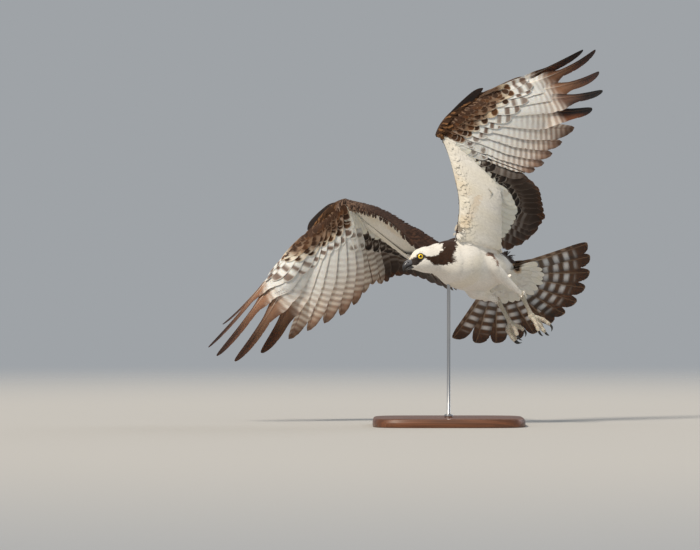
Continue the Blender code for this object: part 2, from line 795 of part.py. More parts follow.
def arm_fold(wing, front, out):
    """The skin in front of a raised arm, which droops from the arm's front edge."""
    fold = np.asarray(wing["fold"], float)
    keys = np.array([0.0, 0.33, 0.66, 1.0])
    rings = []
    for share in (0.0, 0.2, 0.4, 0.6, 0.8, 1.0):
        high = np.array([eased(share, keys, front[:, i]) for i in range(3)])
        low = np.array([eased(share, keys, fold[:, i]) for i in range(3)])
        drop = high - low
        wide = np.linalg.norm(drop) / 2 + FOLD_THICK / 2
        drop = unit(drop)
        rings.append(ring((high + low) / 2, drop, unit(np.cross(drop, out)), wide, FOLD_THICK, 8, 2.0))
    return mesh_object("fold", *loft(rings))


def alula(wing):
    """Three stiff feathers at the thumb, lying along the front of the hand."""
    hand = np.asarray(wing["hand"], float)
    wrist = np.asarray(wing["wrist"], float)
    place = np.array([1.5])
    _, _, below, _ = sheet_axes(wing, place, 0.15 * feather_length(place))
    along_hand = unit(hand - wrist)
    back = feather_run(wing, 4.0)
    inward = unit(back - along_hand * (back @ along_hand))
    arch, reach = wing["thumb"]
    pieces = []
    for number, (share, width) in enumerate(((1.0, 13), (0.8, 13), (0.62, 12))):
        t = np.array([0.0, 0.2, 0.5, 0.85, 1.0])
        start = wrist + along_hand * (16 + 4 * number) - inward * (10 - 6 * number)
        rise = arch * (1 - (2 * t - 1) ** 4) * share
        spine = start + along_hand * (t * reach * share)[:, None] - inward * rise[:, None]
        spine = spine + below[0] * (4.0 - 2.4 * number)
        across = np.tile(unit(inward + below[0] * 0.12), (len(t), 1))
        under = np.tile(below[0], (len(t), 1))
        wide = width * np.array([0.5, 0.85, 1.0, 0.8, 0.15])
        pieces.append(mesh_object("alula", *vane(spine, across, under, wide * 0.5, wide, 1.2)))
    return pieces


def make_wing(name, wing, neighbours):
    """One wing with its feathers in tiers, cut back from the torso."""
    flesh, *others = wing_flesh(wing)
    flesh.name = name
    flesh.data.name = name
    paint(flesh, BROWN, 0.8, 0.0)
    join(flesh, others + flight_feathers(wing) + coverts(wing) + alula(wing))
    cut_round(flesh, neighbours)


def make_tail(neighbours):
    """The tail's fleshy root with its twelve feathers fanned and their coverts."""
    root = body(*TAIL_ROOT)
    along = -math.cos(TAIL_PITCH) * FORWARD - math.sin(TAIL_PITCH) * UP
    side = unit(LEFT - along * (LEFT @ along))
    side = math.cos(TAIL_ROLL) * side + math.sin(TAIL_ROLL) * np.cross(along, side)
    below = np.cross(along, side)
    rings = []
    for ahead, wide, thick, low in ((-6, 37, 33, -4), (14, 35, 26, -3), (36, 29, 17, -1), (60, 18, 8, 0)):
        centre = body(TORSO_RINGS[0][0] - GAP, 0, TORSO_RINGS[0][1]) + along * (ahead + 6)
        rings.append(ring(centre + below * low, side, below, wide, thick, 14))
    tail = mesh_object("tail", *loft(rings), BROWN, 0.8)
    along = math.cos(TAIL_TURN) * along + math.sin(TAIL_TURN) * side
    side = np.cross(below, along)
    pieces = []
    middle = (TAIL_FEATHERS - 1) / 2
    for number in range(TAIL_FEATHERS):
        share = (middle - number) / middle
        edge = number in (0, TAIL_FEATHERS - 1)
        turn = TAIL_SPREAD * share + (TAIL_EDGE_TURN if edge else 0.0)
        run = math.cos(turn) * along + math.sin(turn) * side
        across = math.cos(turn) * side - math.sin(turn) * along
        inward = -across * (1 if share > 0 else -1)
        start = root + side * share * TAIL_ROOT_HALF
        length = TAIL_LENGTH + TAIL_OUTER_EXTRA * abs(share)
        t = np.array([0.0, 0.14, 0.4, 0.84, 0.95, 1.0])
        drop = -3.0 * (1 - abs(share)) + 5.0 * t * (1 - t) * 4
        spine = start + run * (t * length)[:, None] + below * drop[:, None]
        central = abs(share) < 0.15
        tilt = 0.0 if central else math.radians(5.0)
        if central:
            spine = spine - below * (1.6 if share > 0 else 3.2)
        trailing = np.tile(inward * math.cos(tilt) + below * math.sin(tilt), (len(t), 1))
        under = np.tile(below * math.cos(tilt) - inward * math.sin(tilt), (len(t), 1))
        outer = np.interp(t, (0, 0.12, 0.4, 0.85, 0.95, 1), (2, 8, 13, 14, 9, 3))
        if edge:
            outer = outer * TAIL_EDGE_SHARE
        inner = np.interp(t, (0, 0.12, 0.4, 0.85, 0.95, 1), (2, 14, 26, 29, 19, 6))
        pieces.append(mesh_object("feather", *vane(spine, trailing, under, outer, inner)))
    for count, spread, start_at, length, root_drop, tip_drop, half in (
        (8, 0.90, 2.0, 112.0, 10.0, 8.0, 17.0),
        (5, 0.60, -2.0, 66.0, 14.0, 13.0, 16.0),
        (6, 0.84, 4.0, 84.0, -9.0, -8.0, 19.0),
    ):
        for place in np.linspace(1, -1, count):
            turn = TAIL_SPREAD * spread * place
            run = math.cos(turn) * along + math.sin(turn) * side
            across = math.cos(turn) * side - math.sin(turn) * along
            t = np.array([0.0, 0.55, 1.0])
            rise = root_drop + (tip_drop - root_drop) * t + 5.0 * t * 0.5
            spine = root + side * place * TAIL_ROOT_HALF + run * (start_at + t * length)[:, None]
            spine = spine + below * rise[:, None]
            slope = 0.08
            trailing = np.tile(unit(across + below * slope), (3, 1))
            under = np.tile(unit(below - across * slope), (3, 1))
            width = half * np.array([0.55, 1.0, 0.5])
            pieces.append(mesh_object("covert", *vane(spine, trailing, under, width, width)))
    join(tail, pieces)
    cut_round(tail, neighbours)


def make_leg(side_name, neighbours):
    """A feathered thigh and shin, a scaly lower leg, a foot of four toes and their claws."""
    leg = {key: np.asarray(value, float) for key, value in LEGS[side_name].items()}
    hip, knee, ankle, foot = leg["hip"], leg["knee"], leg["ankle"], leg["foot"]
    shin = unit(ankle - knee)
    t = np.array([-0.12, 0.08, 0.3, 0.55, 0.8, 0.93, 1.0])
    path = knee + (ankle - knee) * t[:, None]
    path = path + (hip - knee) * (0.25 * np.clip(0.3 - t, 0, 1))[:, None]
    radii = (15.0, 20.0, 18.5, 13.5, 9.5, 8.0, 7.2)
    thigh = mesh_object(f"thigh_{side_name}", *tube(path, radii, 14), WHITE, 0.85)
    cut_round(thigh, neighbours)
    run = unit(foot - ankle)
    start = ankle + shin * GAP + run * 0.2
    length = np.linalg.norm(foot - start)
    path = start + run * (np.array([0.0, 0.12, 0.4, 0.75, 1.0]) * length)[:, None]
    tarsus = mesh_object(
        f"tarsus_{side_name}", *tube(path, (6.6, 6.4, 4.9, 5.0, 6.0), 12), CREAM, 0.6
    )
    cut_round(tarsus, [thigh])
    cut_round(make_foot(side_name, foot + run * GAP, run), [tarsus])
    return thigh


# Each toe: its middle joint and its tip, both from the foot's centre, and the side its claw bends to.
TOES = {
    "left": (
        ("inner", (9, -12, -16), (16, -20, -35), (0.5, 0.8, 0.1)),
        ("middle", (16, -3, -18), (32, -3, -38), (0.2, 0.9, 0.3)),
        ("outer", (24, 2, -6), (44, 3, -20), (-0.75, 0.2, -0.6)),
        ("hind", (14, 18, -8), (26, 32, -24), (0.2, -0.7, -0.6)),
    ),
    "right": (
        ("inner", (-9, -7, -13), (8, -12, -40), (0.95, -0.1, 0.2)),
        ("middle", (8, -14, -9), (14, -24, -27), (0.8, 0.3, -0.5)),
        ("outer", (2, 14, -14), (12, 20, -38), (0.9, 0.1, 0.3)),
        ("hind", (18, 4, -5), (31, 6, -14), (-0.4, 0.0, -0.9)),
    ),
}


def make_foot(side_name, place, run):
    """The foot: a palm and four toes that bend at their joints, with a claw apart on each."""
    palm_path = place + run * np.array([0.0, 4.0, 9.0, 13.0])[:, None]
    palm = mesh_object(f"foot_{side_name}", *tube(palm_path, (6.2, 8.0, 8.2, 5.0), 10), CREAM, 0.65)
    middle = place + run * 7.0
    toes = []
    claws = []
    for toe, joint, tip, toward in TOES[side_name]:
        joint = np.array(joint, float)
        tip = np.array(tip, float)
        t = np.array([0.0, 0.25, 0.45, 0.53, 0.75, 0.83, 1.0])
        path = np.stack([eased(t, (0, 0.5, 1), (0, joint[i], tip[i])) for i in range(3)], axis=1)
        path = middle + path
        radii = (5.8, 5.4, 4.6, 5.3, 4.3, 5.0, 3.2)
        toes.append(mesh_object("toe", *tube(path, radii, 7)))
        tip_run = unit(path[-1] - path[-2])
        claws.append(
            make_claw(f"claw_{side_name}_{toe}", path[-1] + tip_run * GAP, tip_run, np.array(toward))
        )
    join(palm, toes)
    cut_round(palm, claws)
    return palm


def make_claw(name, start, run, toward):
    """A long round claw, bent down to a point."""
    inward = unit(toward - run * (toward @ run))
    turn = np.linspace(0, 1.55, 5)[:, None]
    path = start + (run * np.sin(turn) + inward * (1 - np.cos(turn))) * CLAW_BEND
    return mesh_object(name, *tube(path, (3.0, 3.1, 2.5, 1.5, 0.35), 8, across=inward), CLAW_BLACK, 0.25)


def stand(torso_object):
    """The flat wooden base and the steel rod that enters the breast."""
    floor = -TORSO_CENTRE[2]
    middle = np.array([-TORSO_CENTRE[0], -TORSO_CENTRE[1], floor])
    x = np.array([1.0, 0.0, 0.0])
    y = np.array([0.0, 1.0, 0.0])
    rings = []
    for height, inset in ((0.0, 2.0), (2.0, 0.0), (BASE_HEIGHT - 4.0, 0.0), (BASE_HEIGHT, 5.0)):
        centre = middle + np.array([0.0, 0.0, height])
        rings.append(ring(centre, x, y, BASE_HALF_X - inset, BASE_HALF_Y - inset, 28, 5.0))
    base = mesh_object("stand_base", *loft(rings), WOOD_DARK, 0.45)
    low = middle + np.array([0.0, 0.0, BASE_HEIGHT + GAP])
    top = np.array([middle[0], middle[1], 0.0])
    collar = 10.0
    path = [low, low + (0, 0, 6.0), low + (0, 0, 7.5), low + (0, 0, 8.0), top]
    radii = (collar, collar, collar - 2.0, ROD_RADIUS, ROD_RADIUS)
    rod = mesh_object("stand_rod", *tube(path, radii, 16, across=x), STEEL, 0.3, 1.0)
    cut_round(rod, [torso_object])


def main():
    """Clears the scene and makes every piece."""
    for obj in list(bpy.data.objects):
        bpy.data.objects.remove(obj)
    trunk = torso()
    throat = neck()
    skull = head_and_eyes()
    cut_round(throat, [skull])
    bill()
    left_thigh = make_leg("left", [trunk])
    right_thigh = make_leg("right", [trunk])
    make_wing("wing_left", LEFT_WING, [trunk, throat, left_thigh])
    make_wing("wing_right", RIGHT_WING, [trunk, throat, skull])
    make_tail([trunk, left_thigh, right_thigh])
    stand(trunk)


main()
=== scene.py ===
"""The looks of a life-size osprey in banking flight on a display stand.

Shapes are worked out in millimetres from the centre of the torso, and each mesh is in metres in the
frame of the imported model. "At" is a place along a wing: 0 is the outermost primary, 9 the innermost,
10 the first secondary and 29 the last tertial.
"""

import math

import bpy
import numpy as np

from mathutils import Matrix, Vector


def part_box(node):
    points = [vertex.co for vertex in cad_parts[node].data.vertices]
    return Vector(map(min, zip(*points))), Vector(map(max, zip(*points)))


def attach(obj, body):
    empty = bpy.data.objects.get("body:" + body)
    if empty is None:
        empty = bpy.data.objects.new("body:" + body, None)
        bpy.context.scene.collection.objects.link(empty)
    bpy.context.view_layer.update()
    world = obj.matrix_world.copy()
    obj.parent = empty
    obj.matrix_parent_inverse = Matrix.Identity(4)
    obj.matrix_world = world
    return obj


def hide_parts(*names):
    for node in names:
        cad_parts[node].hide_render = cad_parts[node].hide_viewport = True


bl_info = {
    "name": "Osprey display model",
    "version": (1, 0, 0),
    "blender": (4, 5, 0),
    "location": "View3D > Sidebar > Osprey",
    "description": "Builds the plumage, skin, bill, eyes, feet and stand of a life-size osprey",
    "category": "Add Mesh",
}

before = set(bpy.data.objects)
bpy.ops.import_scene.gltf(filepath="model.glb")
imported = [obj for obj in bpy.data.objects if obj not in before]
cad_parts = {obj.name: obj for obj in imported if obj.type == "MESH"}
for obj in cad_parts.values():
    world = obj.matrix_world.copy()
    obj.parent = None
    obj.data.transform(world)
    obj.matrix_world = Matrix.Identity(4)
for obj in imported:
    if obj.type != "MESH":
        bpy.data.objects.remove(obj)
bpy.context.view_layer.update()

MM = 0.001
TORSO_CENTRE = np.array([52.0, 48.0, 386.0])
FLOOR = -TORSO_CENTRE[2]
base_low, base_high = (np.array(corner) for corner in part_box("stand_base"))
BASE_HALF_X, BASE_HALF_Y, BASE_HEIGHT = (base_high - base_low) / MM * (0.5, 0.5, 1.0)
BASE_EDGE = 5.0
# Faces that meet at more degrees than this meet in a sharp edge.
RIM_ANGLE = 50.0

FORWARD = np.array([-0.72137, -0.67128, 0.17032])
LEFT = np.array([0.65422, -0.57984, 0.48556])
UP = np.array([-0.22719, 0.46170, 0.85745])

HEAD_CENTRE = np.array([-115.8, -88.0, 9.0])
HEAD_FORWARD = np.array([-0.8780, -0.4380, -0.1910])
HEAD_LEFT = np.array([0.4000, -0.8930, 0.2080])

# Sections: forward, up of the centre, half width, half height.
TORSO_RINGS = (
    (-104, 4, 38, 35),
    (-88, 1, 45, 42),
    (-66, -4, 52, 50),
    (-40, -8, 57, 56),
    (-10, -9, 59, 59),
    (20, -8, 61, 61),
    (45, -7, 60, 60),
    (66, -8, 54, 56),
    (82, -10, 46, 50),
)
HEAD_RINGS = (
    (-20, -6, 30, 33),
    (-8, -4, 29, 32),
    (4, -3, 27, 29),
    (14, -2, 23.5, 25),
    (22, -3, 19, 20),
    (29, -5, 14.5, 15),
    (34, -6.5, 11.5, 12),
)
EYE_PLACE = (12.0, 17.0, 4.0)
EYE_RADIUS = 9.5
EYE_OPENING = 6.7
CLAW_BEND = 11.5
THIGH_SHARES = (-0.12, 0.08, 0.3, 0.55, 0.8, 0.93, 1.0)
THIGH_RADII = (15.0, 20.0, 18.5, 13.5, 9.5, 8.0, 7.2)
ARM_SHARES = (-0.3, -0.12, 0.04, 0.2, 0.4, 0.58, 0.74, 0.88, 1.0)
ARM_THICKNESS = (14, 17, 16, 14, 12, 11, 10, 9, 6)
ARM_KEYS = (0.0, 0.33, 0.66, 1.0)
FOLD_THICK = 8.0
# The hand's sections: share of the way along it, half width, half thickness.
PALM_RINGS = ((-0.08, 6, 6), (0.0, 10, 9), (0.3, 17, 9), (0.65, 13, 7.5), (0.9, 8, 5), (1.03, 4, 3))

FEATHER_KEYS = (0, 1, 2, 3, 4, 5, 6, 9, 12, 16, 20, 24, 29)
BOW_KEYS = (0, 1, 4, 9, 14, 29)
LEFT_WING = {
    "side": 1,
    "shoulder": (-27, -51, 41),
    "elbow": (46, -46, 166),
    "wrist": (-73, -66, 305),
    "hand": (22, -21, 397),
    "front": ((-38, -75, 60), (-30, -76, 140), (-50, -72, 238), (-78, -67, 312)),
    "back": ((68, -8, 34), (66, -30, 118), (52, -44, 190), (-58, -62, 300)),
    "sweep": (61.5, 65.5, 69.5, 68.8, 68.4, 71.3, 73.7, 76.9, 72.7, 74.0, 83.3, 94.7, 89.9),
    "lift": (20.6, 20.6, 14.3, 7.3, 1.0, -4.9, -9.9, -21.4, -23.7, -23.4, -19.1, -13.4, -11.8),
    "bow": (0.03, 0.08, 0.07, 0.025, -0.015, -0.03),
    "bend": (0.0, 0.025, 0.035, 0.02, 0.0, 0.0),
    "part": 0.02,
    "thumb": (7.0, 141.0),
    "fold": None,
}
RIGHT_WING = {
    "side": -1,
    "shoulder": (-68, -13, 10),
    "elbow": (-150, 98, 31),
    "wrist": (-298, 97, 145),
    "hand": (-395, 132, 58),
    "front": ((-84, -22, 46), (-142, 14, 86), (-212, 58, 128), (-300, 90, 154)),
    "back": ((-20, 68, -28), (-86, 96, 0), (-164, 112, 30), (-290, 106, 132)),
    "sweep": (-5.0, -13.0, -15.5, -15.0, -6.2, 6.0, 12.8, 39.0, 51.5, 56.7, 62.0, 66.3, 71.4),
    "lift": (-14.5, -22.7, -29.3, -36.2, -38.8, -39.9, -43.4, -45.3, -34.1, -15.6, -9.2, -8.7, -17.7),
    "bow": (0.0, 0.01, 0.02, 0.02, -0.015, -0.03),
    "bend": (0.055, 0.03, 0.025, 0.02, 0.0, 0.0),
    "part": 0.10,
    "thumb": (8.0, 98.0),
    "fold": ((-96, -40, 18), (-142, -10, 54), (-209, 36, 110), (-292, 78, 136)),
}
LENGTH_KEYS = (0, 1, 2, 3, 4, 5, 6, 9, 10, 16, 22, 26, 29)
LENGTHS = (312, 372, 382, 379, 345, 306, 286, 250, 232, 212, 200, 185, 150)
FOLD_KEYS = (0, 4, 16, 29)
FOLDS = (4.0, 4.0, -4.0, -4.0)
PRIMARIES = 10
SECONDARIES = 15
LAST_PLACE = 29
ELBOW_FEATHER = 24
HAND_SHARE = (1.0, 0.9, 0.79, 0.68, 0.58, 0.48, 0.38, 0.29, 0.2, 0.1)
SECONDARY_SHARE = 0.03
SHOULDER_SHARE = 0.55
SHINGLE = 0.12
# Where along its length each outer primary starts and stops narrowing to a finger, the widths of the
# finger's outer and inner webs, and where its inner edge starts to curve in to the tip.
FINGER_START = (0.50, 0.525, 0.57, 0.62, 0.70)
FINGER_END = (0.65, 0.667, 0.73, 0.785, 0.85)
FINGER_OUTER = (4.0, 4.0, 5.0, 6.0, 7.0)
FINGER_INNER = (15.0, 13.5, 16.0, 15.0, 21.0)
FINGER_ROUND = 0.72
FIRST_OUTER_SHARE = 0.55

TAIL_ROOT = (-106.0, -10.0, 0.0)
TAIL_PITCH = math.radians(26.0)
TAIL_ROLL = math.radians(-8.0)
TAIL_SPREAD = math.radians(69.5)
TAIL_TURN = math.radians(-3.0)
TAIL_FEATHERS = 12
TAIL_LENGTH = 206.0
TAIL_OUTER_EXTRA = 12.0
TAIL_ROOT_HALF = 13.0
TAIL_EDGE_SHARE = 0.6
TAIL_EDGE_TURN = math.radians(-2.2)
# The rump's sections along the tail: place, half width, half thickness, how far below the line.
RUMP_RINGS = ((-12, 37, 33, -4), (-6, 37, 33, -4), (14, 35, 26, -3), (36, 29, 17, -1), (60, 18, 8, 0))

LEGS = {
    "left": {"hip": (50, 9, -2), "knee": (36, -40, 2), "ankle": (124, 14, -76), "foot": (146, 34, -122)},
    "right": {"hip": (16, 42, -30), "knee": (0, 0, -62), "ankle": (68, 44, -90), "foot": (97, 58, -141)},
}
# Each toe: its middle joint and its tip, both from the foot's centre, and the side its claw bends to.
TOES = {
    "left": (
        ("inner", (9, -12, -16), (16, -20, -35), (0.5, 0.8, 0.1)),
        ("middle", (16, -3, -18), (32, -3, -38), (0.2, 0.9, 0.3)),
        ("outer", (24, 2, -6), (44, 3, -20), (-0.75, 0.2, -0.6)),
        ("hind", (14, 18, -8), (26, 32, -24), (0.2, -0.7, -0.6)),
    ),
    "right": (
        ("inner", (-9, -7, -13), (8, -12, -40), (0.95, -0.1, 0.2)),
        ("middle", (8, -14, -9), (14, -24, -27), (0.8, 0.3, -0.5)),
        ("outer", (2, 14, -14), (12, 20, -38), (0.9, 0.1, 0.3)),
        ("hind", (18, 4, -5), (31, 6, -14), (-0.4, 0.0, -0.9)),
    ),
}

# Plumage colours, named as in the settings below.
WHITE = "white"
CREAM = "cream"
GREY_WHITE = "grey_white"
BUFF = "buff"
CHOCOLATE = "chocolate"
MANTLE_BROWN = "mantle"
BLACK_BROWN = "black_brown"
BAR_BROWN = "bar"
SECONDARY_GREY = "secondary"
TAIL_DARK = "tail_dark"
TAIL_PALE = "tail_pale"


def unit(vector):
    """The vector, one long."""
    return vector / np.linalg.norm(vector, axis=-1, keepdims=True)


def as_arrays(places):
    """The same named places and rows of numbers, each as an array."""
    return {
        key: np.array(value, float) if isinstance(value, tuple) else value
        for key, value in places.items()
    }


LEFT_WING, RIGHT_WING = as_arrays(LEFT_WING), as_arrays(RIGHT_WING)
LEGS = {side: as_arrays(leg) for side, leg in LEGS.items()}
HEAD_FORWARD = unit(HEAD_FORWARD)
HEAD_LEFT = unit(HEAD_LEFT - HEAD_FORWARD * (HEAD_LEFT @ HEAD_FORWARD))
HEAD_UP = np.cross(HEAD_FORWARD, HEAD_LEFT)


def body(forward, left, up):
    """A place given along the body's axes."""
    return forward * FORWARD + left * LEFT + up * UP


def head(forward, left, up):
    """A place given along the head's axes."""
    return HEAD_CENTRE + forward * HEAD_FORWARD + left * HEAD_LEFT + up * HEAD_UP


def eased(places, keys, values):
    """Cubic curve through the values at the keys, its slope at each the mean of those beside it."""
    places = np.asarray(places, float)
    keys = np.asarray(keys, float)
    values = np.asarray(values, float)
    slopes = np.gradient(values, keys)
    i = np.clip(np.searchsorted(keys, places, side="right") - 1, 0, len(keys) - 2)
    step = keys[i + 1] - keys[i]
    t = (places - keys[i]) / step
    return (
        (1 + 2 * t) * (1 - t) ** 2 * values[i]
        + t * (1 - t) ** 2 * step * slopes[i]
        + t * t * (3 - 2 * t) * values[i + 1]
        + t * t * (t - 1) * step * slopes[i + 1]
    )


def eased_points(places, keys, points):
    """The same curve through points in space."""
    points = np.asarray(points, float)
    return np.stack([eased(places, keys, points[:, i]) for i in range(3)], axis=-1)


def soft_step(value, low, high):
    """0 below low, 1 above high, and 3t^2 - 2t^3 between them."""
    t = np.clip((value - low) / (high - low), 0, 1)
    return t * t * (3 - 2 * t)


def hex_colour(code):
    """An sRGB hex colour as linear red, green and blue."""
    value = np.array([int(code[i : i + 2], 16) for i in (0, 2, 4)]) / 255
    return np.where(value <= 0.04045, value / 12.92, ((value + 0.055) / 1.055) ** 2.4)


def linear(colour):
    """Linear red, green and blue of a plumage colour's name, of a setting's value or of a hex code."""
    if not isinstance(colour, str):
        return np.array(colour)
    named = getattr(bpy.context.scene.osprey_colours, colour, None)
    return hex_colour(colour) if named is None else np.array(named)


def quad_normals(points, quads):
    """The outward direction at each point: the mean of the directions of the quads that meet there."""
    a, b, c, d = (points[quads[:, i]] for i in range(4))
    cross = np.cross(c - a, d - b)
    total = np.zeros_like(points)
    for i in range(4):
        np.add.at(total, quads[:, i], cross)
    return unit(total + 1e-12)


def mixed(first, second, share):
    """Two colours, or two arrays of them, mixed by a share that may be an array."""
    first = linear(first) if isinstance(first, str) else first
    second = linear(second) if isinstance(second, str) else second
    share = np.asarray(share, float)[..., None]
    return first * (1 - share) + second * share


def wobble(points, scale, seed):
    """Smooth noise from -1 to 1: three sets of sines at odd angles, multiplied in pairs."""
    rng = np.random.default_rng(seed)
    total = 0
    for _ in range(3):
        a, b = rng.normal(size=(2, 3)) / scale
        shift = rng.uniform(0, 6.28, 2)
        total = total + np.sin(points @ a + shift[0]) * np.cos(points @ b + shift[1])
    return total / 1.8


def add_node(tree, kind, settings=None, **links):
    """Adds a node, sets its values and links its inputs. A link is a socket, any other value is set."""
    node = tree.nodes.new(kind)
    for key, value in (settings or {}).items():
        setattr(node, key, value)
    for key, value in links.items():
        socket = node.inputs[int(key[1:])] if key[1:].isdigit() else node.inputs[key.replace("_", " ")]
        if isinstance(value, bpy.types.NodeSocket):
            tree.links.new(value, socket)
        else:
            socket.default_value = value
    return node


def new_material(name, roughness=0.6, **sockets):
    """A material with its shader: returns the material, its node tree and the shader."""
    material = bpy.data.materials.new(name)
    material.use_nodes = True
    tree = material.node_tree
    shader = tree.nodes["Principled BSDF"]
    shader.inputs["Roughness"].default_value = roughness
    for key, value in sockets.items():
        shader.inputs[key.replace("_", " ")].default_value = value
    return material, tree, shader


def tinted(tree, colour, pattern, low, high):
    """The colour, darkened or lightened by a pattern from 0 to 1."""
    gain = add_node(tree, "ShaderNodeMapRange", Value=pattern, To_Min=low, To_Max=high).outputs[0]
    return add_node(tree, "ShaderNodeVectorMath", {"operation": "SCALE"}, _0=colour, Scale=gain).outputs[0]


def raised(tree, shader, height, strength, depth):
    """Raises the surface by a pattern from 0 to 1, over so many millimetres."""
    bump = add_node(tree, "ShaderNodeBump", Strength=strength, Distance=depth * MM, Height=height)
    tree.links.new(bump.outputs[0], shader.inputs["Normal"])


def worked_out(tree, operation, *values):
    """The result of one sum on sockets and numbers."""
    terms = {f"_{i}": value for i, value in enumerate(values)}
    return add_node(tree, "ShaderNodeMath", {"operation": operation}, **terms).outputs[0]


def object_noise(tree, scale, detail, stretch=(1.0, 1.0, 1.0), **values):
    """Noise in the object's own space, squeezed along its axes where wanted."""
    place = add_node(tree, "ShaderNodeTexCoord").outputs["Object"]
    if stretch != (1.0, 1.0, 1.0):
        place = add_node(tree, "ShaderNodeMapping", Vector=place, Scale=stretch).outputs[0]
    return add_node(tree, "ShaderNodeTexNoise", Vector=place, Scale=scale, Detail=detail, **values).outputs[0]


def mesh_tone(tree):
    """The colour that the mesh carries at each of its points."""
    return add_node(tree, "ShaderNodeAttribute", {"attribute_name": "Tone"}).outputs["Color"]


def toned(tree, shader, pattern, low, high, strength, depth):
    """The mesh's own colour, shaded by a pattern that also raises the surface."""
    tree.links.new(tinted(tree, mesh_tone(tree), pattern, low, high), shader.inputs["Base Color"])
    raised(tree, shader, pattern, strength, depth)


def feather_material(name, barb_pitch, depth, roughness, sheen, glow):
    """Feather vane: keratin barbs side by side at a slant, which give it fine lines and a soft sheen.

    Light that enters a thin vane comes out again nearby, so its shaded side glows a little. The tone
    and the distance along the barbs come from the mesh, so the pattern follows each vane.
    """
    # Keratin bends light by 1.54, and the loose barbs throw back less of it than a smooth sheet would.
    material, tree, shader = new_material(
        name, roughness, Sheen_Weight=sheen, Sheen_Roughness=0.5, IOR=1.54, Specular_IOR_Level=0.22,
        Subsurface_Weight=glow, Subsurface_Radius=(1.0, 0.7, 0.5), Subsurface_Scale=0.003
    )
    barb = add_node(tree, "ShaderNodeAttribute", {"attribute_name": "Barb"}).outputs["Fac"]
    wave = worked_out(tree, "SINE", worked_out(tree, "MULTIPLY", barb, 2 * math.pi / barb_pitch))
    noise = object_noise(tree, 260.0, 4.0, Roughness=0.6)
    lines = worked_out(tree, "MULTIPLY_ADD", worked_out(tree, "MULTIPLY", wave, noise), 0.5, 0.5)
    colour = tinted(tree, mesh_tone(tree), lines, 0.90, 1.08)
    tree.links.new(tinted(tree, colour, noise, 0.88, 1.10), shader.inputs["Base Color"])
    raised(tree, shader, lines, 0.5, depth)
    return material


def grid_faces(rows, columns, around=False):
    """Quads of one grid of points, joined round its columns if it is closed."""
    i, j = np.meshgrid(np.arange(rows - 1), np.arange(columns if around else columns - 1), indexing="ij")
    here, beside = i * columns + j, i * columns + (j + 1) % columns
    return np.stack([here, beside, beside + columns, here + columns], axis=-1).reshape(-1, 4)


def tube_faces(rows, ring):
    """Quads of a grid closed round its columns, with the section at each end closed across."""
    j = np.arange(ring // 2 - 1)
    start = np.stack([j, j + 1, ring - 2 - j, ring - 1 - j], axis=-1)
    end = start[:, ::-1] + (rows - 1) * ring
    return np.concatenate([grid_faces(rows, ring, True)[:, ::-1], start, end])


def facing_out(points, faces):
    """Faces of closed pieces, turned in each piece whose volume comes out negative."""
    corners = points.reshape(-1, 3)[faces] - points.mean(axis=1)[:, None, None]
    a, b, c, d = (corners[:, :, i] for i in range(4))
    volume = ((np.cross(a, b) * c).sum(-1) + (np.cross(a, c) * d).sum(-1)).sum(-1)
    return np.where((volume < 0)[:, None, None], faces[:, :, ::-1], faces).reshape(-1, 4)


def shell(middle, below, half):
    """Closed thin shells about middle surfaces of (pieces, rows, columns, 3) points.

    The section of a row runs along its upper side and back along its lower side.
    """
    pieces, rows, columns, _ = middle.shape
    upper = middle - below * half[0][..., None]
    lower = middle + below * half[1][..., None]
    points = np.concatenate([upper, lower[:, :, ::-1]], axis=2)
    ring = 2 * columns
    faces = tube_faces(rows, ring) + np.arange(pieces)[:, None, None] * rows * ring
    return points, facing_out(points.reshape(pieces, -1, 3), faces)


def both_sides(upper, lower=None, axis=2):
    """Values on a shell's middle surface, laid out for its upper and then its lower side."""
    return np.concatenate([upper, np.flip(upper if lower is None else lower, axis)], axis=axis)


def texture_places(u, v):
    """Pairs of texture coordinates, each spread over the grid of both."""
    return np.stack(np.broadcast_arrays(u, v), axis=-1)


def make_piece(name, points, faces, material, slot, tone=None, barb=None, bake=None, replaced=()):
    """A mesh object, smooth but for its rims, that rides on the one body. Its slot is not used.

    Points are in millimetres from the torso. It stands for the nodes that it replaces.
    """
    points = points.reshape(-1, 3)
    corners = faces.shape[1]
    mesh = bpy.data.meshes.new(name)
    mesh.vertices.add(len(points))
    mesh.vertices.foreach_set("co", ((points + TORSO_CENTRE) * MM).astype(np.float32).ravel())
    mesh.loops.add(faces.size)
    mesh.loops.foreach_set("vertex_index", faces.astype(np.int32).ravel())
    mesh.polygons.add(len(faces))
    mesh.polygons.foreach_set("loop_start", np.arange(0, faces.size, corners, dtype=np.int32))
    mesh.update(calc_edges=True)
    mesh.polygons.foreach_set("use_smooth", np.ones(len(faces), bool))
    mesh.set_sharp_from_angle(angle=math.radians(RIM_ANGLE))
    if tone is not None:
        rgba = np.concatenate([tone.reshape(-1, 3), np.ones((len(points), 1))], axis=1)
        layer = mesh.attributes.new("Tone", "FLOAT_COLOR", "POINT")
        layer.data.foreach_set("color", rgba.astype(np.float32).ravel())
    if barb is not None:
        layer = mesh.attributes.new("Barb", "FLOAT", "POINT")
        layer.data.foreach_set("value", barb.astype(np.float32).ravel())
    if bake is not None:
        layer = mesh.uv_layers.new(name="OFBake")
        layer.data.foreach_set("uv", bake.reshape(-1, 2)[faces.ravel()].astype(np.float32).ravel())
    obj = bpy.data.objects.new(name, mesh)
    bpy.context.scene.collection.objects.link(obj)
    mesh.materials.append(material)
    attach(obj, "root")
    if replaced:
        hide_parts(*replaced)


